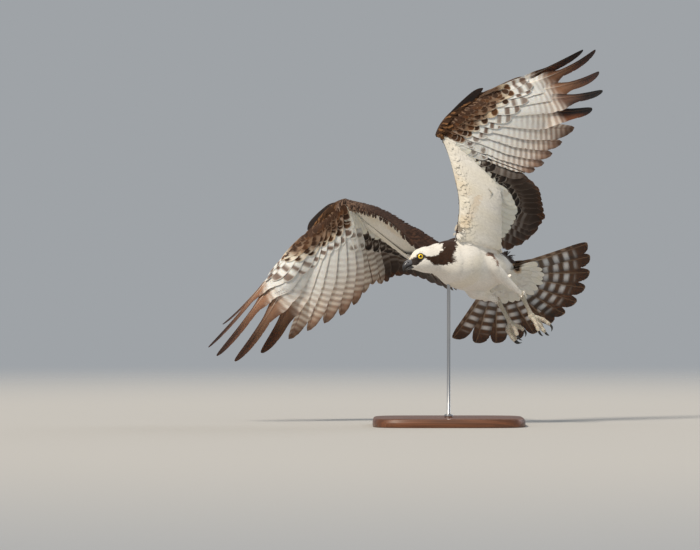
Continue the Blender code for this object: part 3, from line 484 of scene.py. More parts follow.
def feather_root(wing, at):
    """Where flight feathers grow: along the hand, then the forearm, then part of the upper arm."""
    hand, wrist, elbow, shoulder = (wing[key] for key in ("hand", "wrist", "elbow", "shoulder"))
    at = np.asarray(at, float)[..., None]
    on_hand = np.interp(at, np.arange(PRIMARIES), HAND_SHARE)
    on_arm = np.interp(at, (PRIMARIES, ELBOW_FEATHER), (SECONDARY_SHARE, 1.0))
    on_upper_arm = np.interp(at, (ELBOW_FEATHER, LAST_PLACE), (0.0, SHOULDER_SHARE))
    primary = wrist + (hand - wrist) * on_hand
    secondary = wrist + (elbow - wrist) * on_arm
    tertial = elbow + (shoulder - elbow) * on_upper_arm
    blend = np.clip(at - (PRIMARIES - 1), 0, 1)
    return primary * (1 - blend) + np.where(at > ELBOW_FEATHER, tertial, secondary) * blend


def feather_run(wing, at):
    """Unit direction of a flight feather: swept back from straight out of the body, and lifted."""
    sweep = np.radians(eased(at, FEATHER_KEYS, wing["sweep"]))[..., None]
    lift = np.radians(eased(at, FEATHER_KEYS, wing["lift"]))[..., None]
    level = np.cos(sweep) * LEFT * wing["side"] - np.sin(sweep) * FORWARD
    return np.cos(lift) * level + np.sin(lift) * UP


def feather_length(at):
    """Length of the flight feathers at these places along the wing."""
    return eased(at, LENGTH_KEYS, LENGTHS)


def neighbour_step(at):
    """The places a little out and a little in from these along the wing."""
    step = 1.6
    return np.maximum(at - step, 0), np.minimum(at + step, LAST_PLACE)


def shaft_line(wing, at, reach):
    """A shaft from below: a straight line plus a bend 6.75 a^2 (1 - a) in toward the body."""
    outer, inner = neighbour_step(at)
    length = feather_length(at)
    run = feather_run(wing, at)
    half = length[..., None] / 2
    inward = feather_root(wing, inner) + feather_run(wing, inner) * half
    inward = inward - feather_root(wing, outer) - feather_run(wing, outer) * half
    inward = unit(inward - run * (inward * run).sum(-1, keepdims=True))
    share = np.clip(reach / length, 0, 1)
    bend = eased(at, BOW_KEYS, wing["bend"]) * length * 6.75 * share**2 * (1 - share)
    return feather_root(wing, at) + run * reach[..., None] + inward * bend[..., None]


def sheet_axes(wing, at, reach):
    """Feather run, direction toward the body and direction below the wing, and how far apart shafts are."""
    outer, inner = neighbour_step(at)
    run = feather_run(wing, at)
    inward = shaft_line(wing, inner, reach) - shaft_line(wing, outer, reach)
    inward = inward - run * (inward * run).sum(-1, keepdims=True)
    apart = np.linalg.norm(inward, axis=-1) / (inner - outer)
    inward = unit(inward)
    return run, inward, unit(np.cross(inward, run)) * wing["side"], apart


def sheet_point(wing, at, reach, height, frame_reach):
    """A point of the wing's sheet: the shaft line, bowed down by an arc, and at a height below it."""
    length = feather_length(at)
    share = np.clip(reach / length, 0, 1)
    bow = eased(at, BOW_KEYS, wing["bow"]) * length * 4 * share * (1 - share)
    _, _, below, _ = sheet_axes(wing, at, frame_reach)
    return shaft_line(wing, at, reach) + below * (bow + height)[..., None]


def wing_surface(wing, at, along, height, lead, trail, across, free):
    """Middle surfaces of feathers that lie in the wing's sheet.

    at and free hold one number a feather, along, height, lead and trail (feathers, rows), and across
    runs from -1 at the leading edge to 1 at the trailing edge. A point off the shaft is carried to the
    neighbouring place of the sheet that lies that far away, and each vane slopes so that the next
    one in toward the body laps over it. Past the share called free it keeps its own plane.
    """
    places = np.broadcast_to(at[:, None], along.shape)
    length = feather_length(places)
    reach = along * length
    frame_reach = np.clip(along, 0.1, free[:, None]) * length
    _, inward, below, apart = sheet_axes(wing, places, frame_reach)
    height = height + np.interp(places, FOLD_KEYS, FOLDS)
    spine = sheet_point(wing, places, reach, height, frame_reach)
    width = np.where(across < 0, lead[..., None], trail[..., None]) * across
    flat = spine[:, :, None] + inward[:, :, None] * width[..., None]
    flat = flat + below[:, :, None] * (width * SHINGLE)[..., None]
    beside = places[..., None] + width / apart[..., None]
    near = np.clip(beside, 0, LAST_PLACE)
    root = feather_root(wing, near)
    away = ((spine[:, :, None] - root) * feather_run(wing, near)).sum(-1)
    rise = height[..., None] + width * SHINGLE
    followed = sheet_point(wing, near, away, rise, np.maximum(away, 0.1 * length[..., None]))
    held = np.where(free[:, None] < 1, soft_step(along, free[:, None] + 0.01, free[:, None] - 0.08), 1.0)
    held = held[..., None] * ((beside > 0) & (beside < LAST_PLACE))
    return flat + (followed - flat) * held[..., None], below, apart


ACROSS = np.array([-1, -0.92, -0.7, -0.45, -0.2, -0.06, 0, 0.04, 0.14, 0.32, 0.55, 0.78, 0.94, 1.0])


def vane_relief(along, lead, trail, across, shaft):
    """Half thickness above and below the middle: thin webs with a round shaft that tapers to the tip."""
    width = np.where(across < 0, lead[..., None], trail[..., None]) * across
    radius = shaft * (1 - 0.8 * along)[..., None]
    ridge = np.sqrt(np.clip(1 - (width / (radius * 1.5)) ** 2, 0, 1)) * radius
    web = np.full_like(ridge, 0.22)
    return np.maximum(web, 0.55 * ridge), np.maximum(web, ridge)


def ragged(along, amount, rng, count):
    """Small steps in a vane's edge, where barbs part: short sawteeth of random depth."""
    teeth = rng.uniform(9, 17, (count, 1))
    start = rng.uniform(0, 1, (count, 1))
    phase = (along * teeth + start) % 1
    depth = rng.uniform(0, 1, (count, 1)) * amount
    return 1 - depth * np.clip(phase * 6 - 5, 0, 1) * soft_step(along, 0.25, 0.45)


def finger_span(wing, number):
    """Where along its length an outer primary starts and stops narrowing, in shares of it."""
    return FINGER_START[number] - wing["part"], FINGER_END[number] - wing["part"]


def primary_widths(wing, number, along):
    """Outer and inner web widths of a primary, narrowed to a finger with a round tip past its notch."""
    outer = np.interp(along, (0, 0.1, 0.3, 0.6, 0.9, 0.97, 1), (1.6, 5, 11, 12, 8, 5, 0.8))
    inner = np.interp(along, (0, 0.1, 0.25, 0.55, 0.85, 0.94, 0.985, 1), (1.8, 12, 30, 36, 27, 18, 9, 1.2))
    if number < len(FINGER_START):
        start, end = finger_span(wing, number)
        share = soft_step(along, start - 0.01, end + 0.01)
        curve = np.clip((along - FINGER_ROUND) / (1.002 - FINGER_ROUND), 0, 1)
        inner = inner * (1 - share) + FINGER_INNER[number] * np.sqrt(1 - curve**2) * share
        outer = outer * (1 - share) + FINGER_OUTER[number] * np.sqrt(1 - curve**6) * share
    if number == 0:
        outer = outer * FIRST_OUTER_SHARE
    return outer, inner


def bars(millimetres, pitch, duty, softness=0.35):
    """Soft-edged stripes: 1 inside a bar and 0 between, for the share called duty of each pitch."""
    wave = np.cos(2 * math.pi * millimetres / pitch) - math.cos(math.pi * duty)
    return 0.5 + 0.5 * np.tanh(wave / softness)


def strip_bake(count, rows, columns):
    """Texture places of shells: each side of each piece has an upright strip of its own."""
    across = np.linspace(0.04, 0.96, columns)
    across = np.concatenate([across, 1 + across[::-1]])
    u = (np.arange(count)[:, None, None] * 2 + across) / (2 * count)
    return texture_places(u, np.linspace(0.005, 0.995, rows)[None, :, None])


def barb_distance(along, length, lead, trail, across):
    """Millimetres along a feather, less those out from its shaft: constant along each slanting barb."""
    width = np.where(across < 0, lead[..., None], trail[..., None]) * np.abs(across)
    return (along * length)[..., None] - 0.9 * width


# Each finger's colour at its base, at its tip and along its trailing edge, for the left and right wings.
# Partly their own browns, partly painted light: copper glow through the thin vanes and each wing's light.
FINGER_TONES_AND_LIGHT = {
    1: (
        ("4A3527", "17110F", "2A1D18"),
        ("7A5842", "21150F", "3A251C"),
        ("8E6A52", "33221A", "5A3C2A"),
        ("6A5044", "14100E", "241813"),
        ("2E1F18", "0F0C0B", "7A4A30"),
    ),
    -1: (
        ("9C7A62", "2A1A15", "6B4A38"),
        ("946F58", "2A1A15", "5E4030"),
        ("8E6A54", "2A1B15", "5A3D2E"),
        ("8A6A56", "2E2019", "5A4032"),
        ("7A5E4E", "33251D", "4E382C"),
    ),
}


def primary_tones(wing, number, t, across, length):
    """Colours of a primary from below and from above. Arrays are (rows, columns)."""
    side = wing["side"]
    fingered = number < len(FINGER_START)
    finger = finger_span(wing, number)[0] if fingered else 0.80
    millimetres = t * length - 7.0 * np.abs(across)
    bar = bars(millimetres + 5.0 * number, 14.5, 0.5)
    toward_tip = soft_step(t, 0.40, finger + 0.05)
    ground = mixed(WHITE, "E6D8CC", toward_tip)
    strength = (0.35 + 0.5 * toward_tip) * soft_step(t, 0.30, 0.44)
    strength = strength * (1 - 0.55 * soft_step(across, 0.5, 1.0) * (1 - toward_tip))
    below = mixed(ground, BAR_BROWN, strength * bar)
    # Painted shade: a soft grey line along the trailing edge, where the vane lies over the next one.
    below = mixed(below, "C9B9AC", 0.35 * soft_step(across, 0.86, 1.0) * (1 - toward_tip))
    if fingered:
        # Painted light: the finger tones carry glow through the vanes and the light on each wing.
        base, tip, edge = FINGER_TONES_AND_LIGHT[side][number]
        tone = mixed(base, tip, soft_step(t, finger + 0.04, 0.86))
        tone = mixed(tone, edge, 0.8 * soft_step(across, 0.25, 0.9) * soft_step(t, 0.98, 0.8))
        tone = mixed(tone, tip, 0.75 * soft_step(-across, 0.35, 0.9))
        start = finger - 0.06 + 0.05 * soft_step(across, 0.0, 1.0)
        below = mixed(below, tone, soft_step(t, start, start + 0.11))
    else:
        dusky = mixed("8A6C5A", "4A372C", soft_step(np.maximum(np.abs(across), (t - 0.7) / 0.3), 0.62, 1.0))
        dusky = mixed(dusky, "3A2417", 0.7 * (number == len(FINGER_START)))
        below = mixed(below, dusky, 0.9 * soft_step(t + 0.05 * across, finger, 0.97))
    quill = mixed("EFE6D6", "8A6244" if fingered else "8A6A50", soft_step(t, 0.45, 0.72))
    quill = mixed(quill, "3A281C", soft_step(t, 0.72, 0.95) * fingered)
    below = np.where((np.abs(across) < 0.03)[..., None], quill, below)
    above = mixed(MANTLE_BROWN, BLACK_BROWN, soft_step(t, 0.35, 0.8))
    above = mixed(above, "6A5646", 0.5 * bar * soft_step(across, 0.2, 0.5) * (1 - toward_tip))
    return below, np.where((across > 0.97)[..., None], below, above)


def secondary_tones(wing, number, t, across, length):
    """Colours of a secondary or tertial from below and from above."""
    millimetres = t * length - 5.0 * np.abs(across)
    bar = bars(millimetres + 6.0 * number, 20.0, 0.42)
    outermost = soft_step((3.2 if wing["side"] < 0 else 1.4) - number, 0.0, 1.6)
    pale = 0.72 * bar * soft_step(across, -0.3, 0.2) * (1 - soft_step(t, 0.66, 0.88))
    below = mixed(SECONDARY_GREY, "B5ABA2", pale)
    below = mixed(below, "2A211C", 0.75 * soft_step(t, 0.55, 0.95))
    light = mixed("E2DAD1", "8E7B6E", 0.85 * bars(millimetres, 15.0, 0.45))
    light = mixed(light, "6E5A4C", 0.7 * soft_step(t, 0.85, 1.0))
    below = mixed(below, light, outermost)
    fringe = soft_step(np.abs(across), 0.9, 1.0) * (1 - outermost)
    below = mixed(below, "84766B", 0.45 * fringe)
    below = np.where((np.abs(across) < 0.05)[..., None], linear("4E4239"), below)
    above = mixed(MANTLE_BROWN, "55443A", 0.4 * bar * soft_step(across, 0.1, 0.4))
    above = mixed(above, "9B8878", 0.6 * soft_step(t, 0.96, 1.0))
    return below, np.where((across > 0.97)[..., None], below, above)


def vane_shells(middle, below, along, length, lead, trail, across, shaft):
    """Points, faces and distances along the barbs of feathers about their middle surfaces."""
    points, faces = shell(middle, below, vane_relief(along, lead, trail, across, shaft))
    return points, faces, both_sides(barb_distance(along, length, lead, trail, across))


def vane_rows(rows):
    """Shares of a vane's length, closer together toward its tip: 1 - (1 - t)^1.15."""
    return 1 - (1 - np.linspace(0, 1, rows)) ** 1.15


def flight_feathers(wing, name, material, replaced):
    """Primaries in one piece and secondaries with tertials in another, each vane on its own grid."""
    rng = np.random.default_rng(7 if wing["side"] > 0 else 8)
    for kind, places in (
        ("primaries", np.arange(PRIMARIES, dtype=float)),
        ("secondaries", np.linspace(PRIMARIES, LAST_PLACE, SECONDARIES)),
    ):
        count = len(places)
        primary = kind == "primaries"
        rows = 110 if primary else 64
        t = vane_rows(rows)
        along = np.broadcast_to(t, (count, rows))
        free = np.ones(count)
        if primary:
            widths = [primary_widths(wing, number, t) for number in range(count)]
            lead, trail = (np.stack(webs) for webs in zip(*widths))
            free[: len(FINGER_START)] = np.array(FINGER_START) - wing["part"]
        else:
            lead = np.interp(along, (0, 0.15, 0.5, 0.9, 0.97, 1), (2, 8, 13, 11.5, 8, 1.5))
            trail = np.interp(along, (0, 0.15, 0.5, 0.88, 0.96, 1), (2, 16, 28, 26, 17, 3))
        lead = lead * ragged(along, 0.10, rng, count)
        trail = trail * ragged(along, 0.16, rng, count)
        uneven = 0.0 if primary else 0.022
        along = along * (1 - uneven * rng.uniform(0, 2, (count, 1)))
        height = rng.normal(0, 0.35, (count, 1)) * soft_step(along, 0.2, 0.8)
        middle, below, _ = wing_surface(wing, places, along, height, lead, trail, ACROSS, free)
        length = feather_length(places)
        webs = (lead, trail, ACROSS, 2.4 if primary else 1.7)
        points, faces, barb = vane_shells(middle, below[:, :, None], along, length[:, None], *webs)
        coloured = primary_tones if primary else secondary_tones
        grid = np.broadcast_arrays(t[:, None], ACROSS)
        tones = [coloured(wing, number, *grid, length[number]) for number in range(count)]
        tones = np.stack([both_sides(over, under, 1) for under, over in tones])
        bake = strip_bake(count, rows, len(ACROSS))
        nodes = replaced if primary else ()
        make_piece(f"{kind}_{name}", points, faces, material, "wing_plumage", tones, barb, bake, nodes)


# Covert rows of each wing: first and last place, count, share of the flight feather where each
# starts, shares where it ends at the first and last place, its root's and its tip's height as shares
# of the flesh's thickness there, what its tip's height has more, half width, style.
COVERT_ROWS = (
    (0.2, 9.2, 11, 0.04, 0.405, 0.33, 0.3, 0.0, 4.6, 12.5, "banded"),
    (0.3, 9.3, 8, 0.02, 0.252, 0.228, 0.6, 0.1, 5.0, 12.4, "spotted"),
    (0.8, 9.5, 8, 0.0, 0.206, 0.186, 0.8, 0.2, 5.0, 11.8, "spotted"),
    (0.3, 9.4, 9, -0.01, 0.164, 0.148, 1.0, 0.3, 5.0, 10.4, "spotted"),
    (0.7, 9.6, 11, -0.02, 0.126, 0.114, 1.0, 0.45, 4.6, 8.6, "spotted"),
    (0.3, 9.5, 13, -0.02, 0.096, 0.086, 1.0, 0.7, 3.8, 6.8, "flecked"),
    (0.3, 9.5, 16, -0.02, 0.066, 0.058, 1.0, 0.9, 2.8, 5.6, "flecked"),
    (9.6, 28.0, 14, 0.05, 0.50, 0.62, 0.3, 0.0, 4.8, 15.0, "dark"),
    (9.9, 28.0, 15, 0.02, 0.36, 0.50, 0.6, 0.1, 5.2, 13.5, "dark"),
    (10.0, 28.4, 22, 0.02, 0.26, 0.40, 0.95, 0.25, 4.8, 11.0, "cream"),
    (9.8, 28.6, 26, 0.01, 0.19, 0.32, 1.0, 0.4, 4.4, 10.0, "cream"),
    (9.8, 28.8, 30, 0.0, 0.12, 0.25, 1.0, 0.6, 3.6, 9.0, "cream"),
    (21.0, 28.9, 10, 0.0, 0.42, 0.66, 1.05, 0.5, 5.5, 12.0, "axillary"),
    (0.2, 9.0, 14, 0.05, 0.42, 0.36, 0.3, 0.0, -4.4, 11.0, "mantle"),
    (0.2, 9.4, 18, 0.0, 0.26, 0.22, 0.8, 0.2, -4.8, 9.0, "mantle"),
    (0.4, 9.6, 22, -0.02, 0.15, 0.13, 1.0, 0.6, -4.0, 8.0, "mantle"),
    (10.0, 28.5, 20, 0.04, 0.52, 0.62, 0.3, 0.0, -4.4, 13.0, "mantle"),
    (10.0, 28.5, 24, 0.02, 0.36, 0.46, 0.9, 0.2, -4.8, 11.0, "mantle"),
    (10.0, 28.8, 30, 0.0, 0.22, 0.32, 1.0, 0.45, -4.4, 10.0, "mantle"),
    (10.0, 28.8, 32, -0.02, 0.12, 0.20, 1.0, 0.8, -3.0, 9.0, "mantle"),
)
# A covert's grid: shares of its length, its outline there, and shares of its half width.
COVERT_T = np.array([0, 0.3, 0.55, 0.7, 0.8, 0.88, 0.95, 1.0])
COVERT_OUTLINE = np.array([0.4, 0.8, 0.97, 1.0, 0.95, 0.83, 0.58, 0.2])
COVERT_ACROSS = np.array([-1, -0.6, 0, 0.6, 1.0])
# The grid of a covert with spots or bands.
MARKED_T = np.concatenate([[0.0], np.linspace(0.3, 1, 21)])
MARKED_ACROSS = np.array([-1, -0.85, -0.6, -0.3, 0, 0.3, 0.6, 0.85, 1.0])


def flesh_height(places):
    """Half thickness of the hand or arm at places along the wing."""
    keys, _, thick = np.transpose(PALM_RINGS)
    on_hand = np.interp(np.interp(places, np.arange(PRIMARIES), HAND_SHARE), keys, thick)
    share = np.interp(places, (PRIMARIES, ELBOW_FEATHER, LAST_PLACE), (0.97, 0.5, 0.24))
    return np.where(places < PRIMARIES - 0.5, on_hand, np.interp(share, ARM_SHARES, ARM_THICKNESS))


def spot(back, aside, middle, long, half):
    """A round spot: 1 inside an ellipse with its middle so far back from the feather's tip."""
    return soft_step(((back - middle) / long) ** 2 + (aside / half) ** 2, 1.3, 0.7)


def covert_tones(style, at, back, aside, edge, share, rng):
    """Colours of coverts, from millimetres back from the tip, aside from the shaft and in from the edge."""
    vary = rng.uniform(0, 1, (len(back), 1, 1)) * np.ones_like(back)
    if style == "banded":
        bands = soft_step(np.abs(share - 0.287), 0.021, 0.013)
        bands = np.maximum(bands, soft_step(np.abs(share - 0.362), 0.027, 0.019))
        inner = soft_step(at, 6.6, 8.0)
        bands = bands * (1 - inner) + spot(back, aside, 13.0, 8.0, 9.0) * inner
        tone = mixed(WHITE, "6A5246", (0.78 + 0.2 * vary) * bands * soft_step(edge, 0.1, 1.2))
        return mixed(tone, "D5C8BC", 0.5 * soft_step(edge, 1.0, 0.2))
    if style in ("spotted", "flecked"):
        size = 1.0 if style == "spotted" else 0.72
        dark = spot(back, aside, 9.6 * size, 8.4 * size, 8.4 * size)
        ground = mixed("F1E8DA", BUFF, 0.15 + (0.45 if style == "spotted" else 0.65) * vary)
        ground = mixed(ground, "6B4526", 0.85 * soft_step(share, 0.20, 0.13))
        ground = mixed(ground, "4A3020", soft_step(back, 8, 12) * (style == "flecked"))
        inner = 0.6 * soft_step(at, 7.2, 9.0) * (style == "spotted")
        return mixed(mixed(ground, "B8A597", inner), mixed(CHOCOLATE, "5E3A1E", vary**2), dark)
    if style == "dark":
        tone = mixed("3E322A", BLACK_BROWN, soft_step(back, 16, 6) * np.ones_like(aside))
        tone = mixed(tone, "A79C92", 0.75 * spot(back, np.abs(aside) - 5.0, 21.0, 4.0, 4.5))
        tone = mixed(tone, "B3A79C", 0.7 * soft_step(edge, 1.6, 0.5))
        light = mixed(WHITE, "7C6A5E", 0.8 * spot(back, aside, 10.0, 6.0, 8.0))
        return mixed(tone, light, 0.8 * soft_step(at, 12.4, 10.6))
    if style in ("cream", "axillary"):
        tone = mixed(WHITE, CREAM, 0.25 + 0.5 * vary)
        return mixed(tone, "C9BFA8", 0.35 * soft_step(edge, 1.6, 0.3))
    tone = mixed(MANTLE_BROWN, "4A382D", vary)
    return mixed(tone, "8A725E", 0.5 * soft_step(edge, 1.4, 0.3))


def coverts(wing, name, material):
    """The tiers of coverts over the roots of the flight feathers, below and above the wing.

    Each leaves the flesh at a share of its thickness, and its height runs straight to its tip's.
    """
    rng = np.random.default_rng(21 if wing["side"] > 0 else 22)
    parts = []
    for row in COVERT_ROWS:
        first, last, count, start, end_first, end_last, rooted, tipped, more, half_width, style = row
        fine = style in ("banded", "spotted", "dark")
        t, across = (MARKED_T, MARKED_ACROSS) if fine else (COVERT_T, COVERT_ACROSS)
        places = np.linspace(first, last, count)
        places = np.clip(places + rng.normal(0, 0.07, count) * (last - first) / count, 0, LAST_PLACE)
        end = np.interp(places, (first, last), (end_first, end_last)) + rng.normal(0, 0.005, count)
        along = start + (end[:, None] - start) * t
        wide = half_width * rng.normal(1, 0.06, (count, 1)) * np.interp(t, COVERT_T, COVERT_OUTLINE)
        side = math.copysign(1.0, more)
        thick = flesh_height(places)[:, None]
        rise = side * (thick * rooted + 0.8) * (1 - t) + (side * thick * tipped + more) * t
        rise = rise + side * rng.normal(0, 0.2, (count, 1)) * t
        middle, below, _ = wing_surface(wing, places, along, rise, wide, wide, across, np.ones(count))
        grid = t[None] * np.ones((count, 1))
        length = (end - start)[:, None] * feather_length(places)[:, None]
        points, faces, barb = vane_shells(middle, below[:, :, None], grid, length, wide, wide, across, 0.7)
        shape = (count, len(t), len(across))
        back = np.broadcast_to(((1 - t) * length)[..., None], shape)
        aside = wide[..., None] * across
        edge = np.minimum(wide[..., None] - np.abs(aside), back)
        share = np.broadcast_to(along[..., None], shape)
        at = np.broadcast_to(places[:, None, None], shape)
        tone = covert_tones(style, at, back, aside, edge, share, rng)
        u = 0.02 + 0.96 * places[:, None, None] / LAST_PLACE + 0.0015 * across
        v = 0.5 + 0.7 * (start + 0.4 * (end - start))[:, None, None] * side + 0.003 * t[:, None]
        # From above, the pale feathers of the lining are as brown as the coverts over them.
        pale = style in ("cream", "axillary")
        upper = mixed(MANTLE_BROWN, "4A382D", 0.5 * np.ones(shape)) if pale else tone
        parts.append((points, faces, both_sides(upper, tone), barb, both_sides(texture_places(u, v))))
    join_parts(f"coverts_{name}", parts, material, "wing_plumage")


def join_parts(name, parts, material, slot):
    """One piece from several arrays of points, faces, tones, barb distances and texture places."""
    points, faces, tones, barbs, bakes = zip(*parts)
    points, tones, bakes = (
        np.concatenate([array.reshape(-1, array.shape[-1]) for array in arrays])
        for arrays in (points, tones, bakes)
    )
    starts = np.cumsum([0] + [barb.size for barb in barbs[:-1]])
    faces = np.concatenate([part + start for part, start in zip(faces, starts)])
    barbs = np.concatenate([barb.ravel() for barb in barbs])
    return make_piece(name, points, faces, material, slot, tones, barbs, bakes)


def alula(wing, name, material):
    """Three stiff dark feathers on the thumb, arched off the front of the hand: 1 - (2t - 1)^4."""
    hand, wrist = (wing[key] for key in ("hand", "wrist"))
    place = np.array([1.5])
    below = sheet_axes(wing, place, 0.15 * feather_length(place))[2][0]
    along_hand = unit(hand - wrist)
    back = feather_run(wing, 4.0)
    inward = unit(back - along_hand * (back @ along_hand))
    side = unit(inward + below * 0.12)
    arch, reach = wing["thumb"]
    rows = 30
    t = np.linspace(0, 1, rows)
    across = np.array([-1, -0.6, -0.12, 0, 0.12, 0.5, 0.85, 1.0])
    shape = (1, rows, len(across))
    parts = []
    for number, (share, width) in enumerate(((1.0, 13), (0.8, 13), (0.62, 12))):
        start = wrist + along_hand * (16 + 4 * number) - inward * (10 - 6 * number)
        rise = arch * (1 - (2 * t - 1) ** 4) * share
        spine = start + along_hand * (t * reach * share)[:, None] - inward * rise[:, None]
        spine = spine + below * (4.0 - 2.4 * number)
        wide = width * np.interp(t, (0, 0.2, 0.5, 0.85, 0.95, 1), (0.5, 0.85, 1.0, 0.8, 0.5, 0.1))
        offset = np.where(across < 0, 0.5 * wide[:, None], wide[:, None]) * across
        middle = (spine[:, None] + side * offset[..., None])[None]
        length = np.array([[reach * share]])
        webs = (0.5 * wide[None], wide[None], across, 1.3)
        points, faces, barb = vane_shells(middle, below, t[None], length, *webs)
        fade = soft_step(np.broadcast_to(t[None, :, None], shape), 0.5, 0.0)
        tone = mixed(BLACK_BROWN, "3B2A20", 0.5 * fade)
        bake = strip_bake(1, rows, len(across)) * (0.3, 1) + (0.33 * number, 0)
        parts.append((points, faces, both_sides(tone), barb, bake))
    join_parts(f"alula_{name}", parts, material, "wing_plumage")


def tail_axes():
    """The tail's axes along its middle, to the left and below."""
    along = -math.cos(TAIL_PITCH) * FORWARD - math.sin(TAIL_PITCH) * UP
    side = unit(LEFT - along * (LEFT @ along))
    side = math.cos(TAIL_ROLL) * side + math.sin(TAIL_ROLL) * np.cross(along, side)
    below = np.cross(along, side)
    return along, side, below


def tail_fan():
    """The tail's root, with the axes of its fan along its middle, to the left and below."""
    along, side, below = tail_axes()
    fan = math.cos(TAIL_TURN) * along + math.sin(TAIL_TURN) * side
    return body(*TAIL_ROOT), fan, np.cross(below, fan), below


def flat_vanes(spine, trailing, below, lead, trail, across, shaft):
    """Shells of feathers that keep their own planes: spine + trailing * width on a grid."""
    width = np.where(across < 0, lead[..., None], trail[..., None]) * across
    middle = spine[:, :, None] + trailing[:, None, None] * width[..., None]
    along = np.broadcast_to(np.linspace(0, 1, spine.shape[1]), lead.shape)
    return shell(middle, below[:, None, None], vane_relief(along, lead, trail, across, shaft))


def tail_tones(t, across, share):
    """A tail feather from below and above: pale windows between dark bars on the inner web, a dark tip."""
    outermost = soft_step(np.abs(share), 0.6, 0.95)
    place = t * TAIL_LENGTH + 3.0 * math.sin(9.0 * share) + 3.0 * np.abs(across)
    bar = bars(place - 8.0, 24.0, 0.46, 0.3)
    windowed = soft_step(t, 0.20, 0.30) * (1 - soft_step(t, 0.78, 0.86))
    inner = soft_step(across, 0.06, 0.20) * (1 - 0.75 * soft_step(across, 0.66, 0.94))
    ground = mixed("5E5147", TAIL_DARK, soft_step(t, 0.35, 0.75))
    # The windows' grey-blue TAIL_PALE is painted shade and painted sky light through white vanes.
    below = mixed(ground, TAIL_PALE, 0.92 * bar * windowed * inner)
    outer = soft_step(-across, 0.10, 0.25)
    below = mixed(below, "8F8276", (0.25 + 0.4 * outermost) * bar * windowed * outer)
    below = mixed(below, "2A211C", 0.8 * soft_step(t, 0.80, 0.93))
    below = mixed(below, "8B7F74", 0.35 * soft_step(t, 0.975, 1.0))
    quill = mixed("A0927F", "5A4C40", soft_step(t, 0.3, 0.9))
    below = np.where((np.abs(across) < 0.045)[..., None], quill, below)
    above = mixed(mixed("4A3930", "382A22", soft_step(t, 0.2, 0.9)), "9D9488", 0.6 * bar * windowed * inner)
    above = mixed(above, "B8AA9A", 0.7 * soft_step(t, 0.97, 1.0))
    return below, above


# Tail covert tiers: count, share of the fan, start, length, drop at root and tip, half width, above.
TAIL_COVERTS = (
    (15, 0.80, 40.0, 58.0, 11.0, 10.0, 9.5, False),
    (14, 0.72, 30.0, 54.0, 14.5, 11.0, 9.5, False),
    (13, 0.64, 20.0, 50.0, 17.5, 12.0, 9.0, False),
    (12, 0.56, 10.0, 46.0, 21.0, 13.5, 9.0, False),
    (11, 0.48, 0.0, 42.0, 24.5, 16.0, 8.5, False),
    (13, 0.86, 40.0, 52.0, -14.0, -6.5, 11.0, True),
    (11, 0.74, 26.0, 48.0, -23.0, -8.5, 11.0, True),
    (10, 0.62, 12.0, 44.0, -31.0, -12.0, 10.5, True),
    (9, 0.50, -2.0, 40.0, -37.0, -19.0, 10.0, True),
)
# The under tail coverts are shorter toward the right edge of the fan.
UNDER_TAIL_REACH = ((-1.0, 0.0, 0.5, 1.0), (0.62, 1.0, 1.1, 0.78))
UNDER_TAIL_HALF = 30.0


def tail_feathers(material, rng):
    """The twelve fanned tail feathers. Each sags along its length by 20 t (1 - t) millimetres."""
    root, along, side, below = tail_fan()
    share = (TAIL_FEATHERS - 1 - 2 * np.arange(TAIL_FEATHERS)) / (TAIL_FEATHERS - 1)
    edge = np.abs(share) > 0.99
    turn = (TAIL_SPREAD * share + np.where(edge, TAIL_EDGE_TURN, 0.0))[:, None]
    run = np.cos(turn) * along + np.sin(turn) * side
    inward = -(np.cos(turn) * side - np.sin(turn) * along) * np.sign(share)[:, None]
    rows = 76
    t = vane_rows(rows)
    length = TAIL_LENGTH + TAIL_OUTER_EXTRA * np.abs(share)
    drop = -3.0 * (1 - np.abs(share))[:, None] + 20.0 * t * (1 - t)
    central = np.abs(share) < 0.15
    drop = drop - np.where(central, np.where(share > 0, 1.6, 3.2), 0.0)[:, None]
    start = root + side * (share * TAIL_ROOT_HALF)[:, None]
    spine = start[:, None] + run[:, None] * (t * length[:, None])[..., None] + below * drop[..., None]
    tilt = np.where(central, 0.0, math.radians(5.0))[:, None]
    trailing = inward * np.cos(tilt) + below * np.sin(tilt)
    under = below * np.cos(tilt) - inward * np.sin(tilt)
    along_t = np.broadcast_to(t, (TAIL_FEATHERS, rows))
    keys = (0, 0.12, 0.4, 0.85, 0.93, 0.975, 0.995, 1)
    lead = np.interp(along_t, keys, (2, 8, 13, 14, 11.5, 8, 4, 1.5))
    lead = lead * ragged(along_t, 0.08, rng, TAIL_FEATHERS) * np.where(edge, TAIL_EDGE_SHARE, 1.0)[:, None]
    trail = np.interp(along_t, keys, (2, 14, 26, 29, 24.5, 17, 9, 2.5))
    trail = trail * ragged(along_t, 0.10, rng, TAIL_FEATHERS)
    points, faces = flat_vanes(spine, trailing, under, lead, trail, ACROSS, 1.3)
    grid = np.broadcast_arrays(t[:, None], ACROSS)
    tones = [tail_tones(*grid, place) for place in share]
    tones = np.stack([both_sides(over, lower, 1) for lower, over in tones])
    barb = both_sides(barb_distance(along_t, length[:, None], lead, trail, ACROSS))
    bake = strip_bake(TAIL_FEATHERS, rows, len(ACROSS))
    make_piece("tail_feathers", points, faces, material, "tail_plumage", tones, barb, bake, ("tail",))


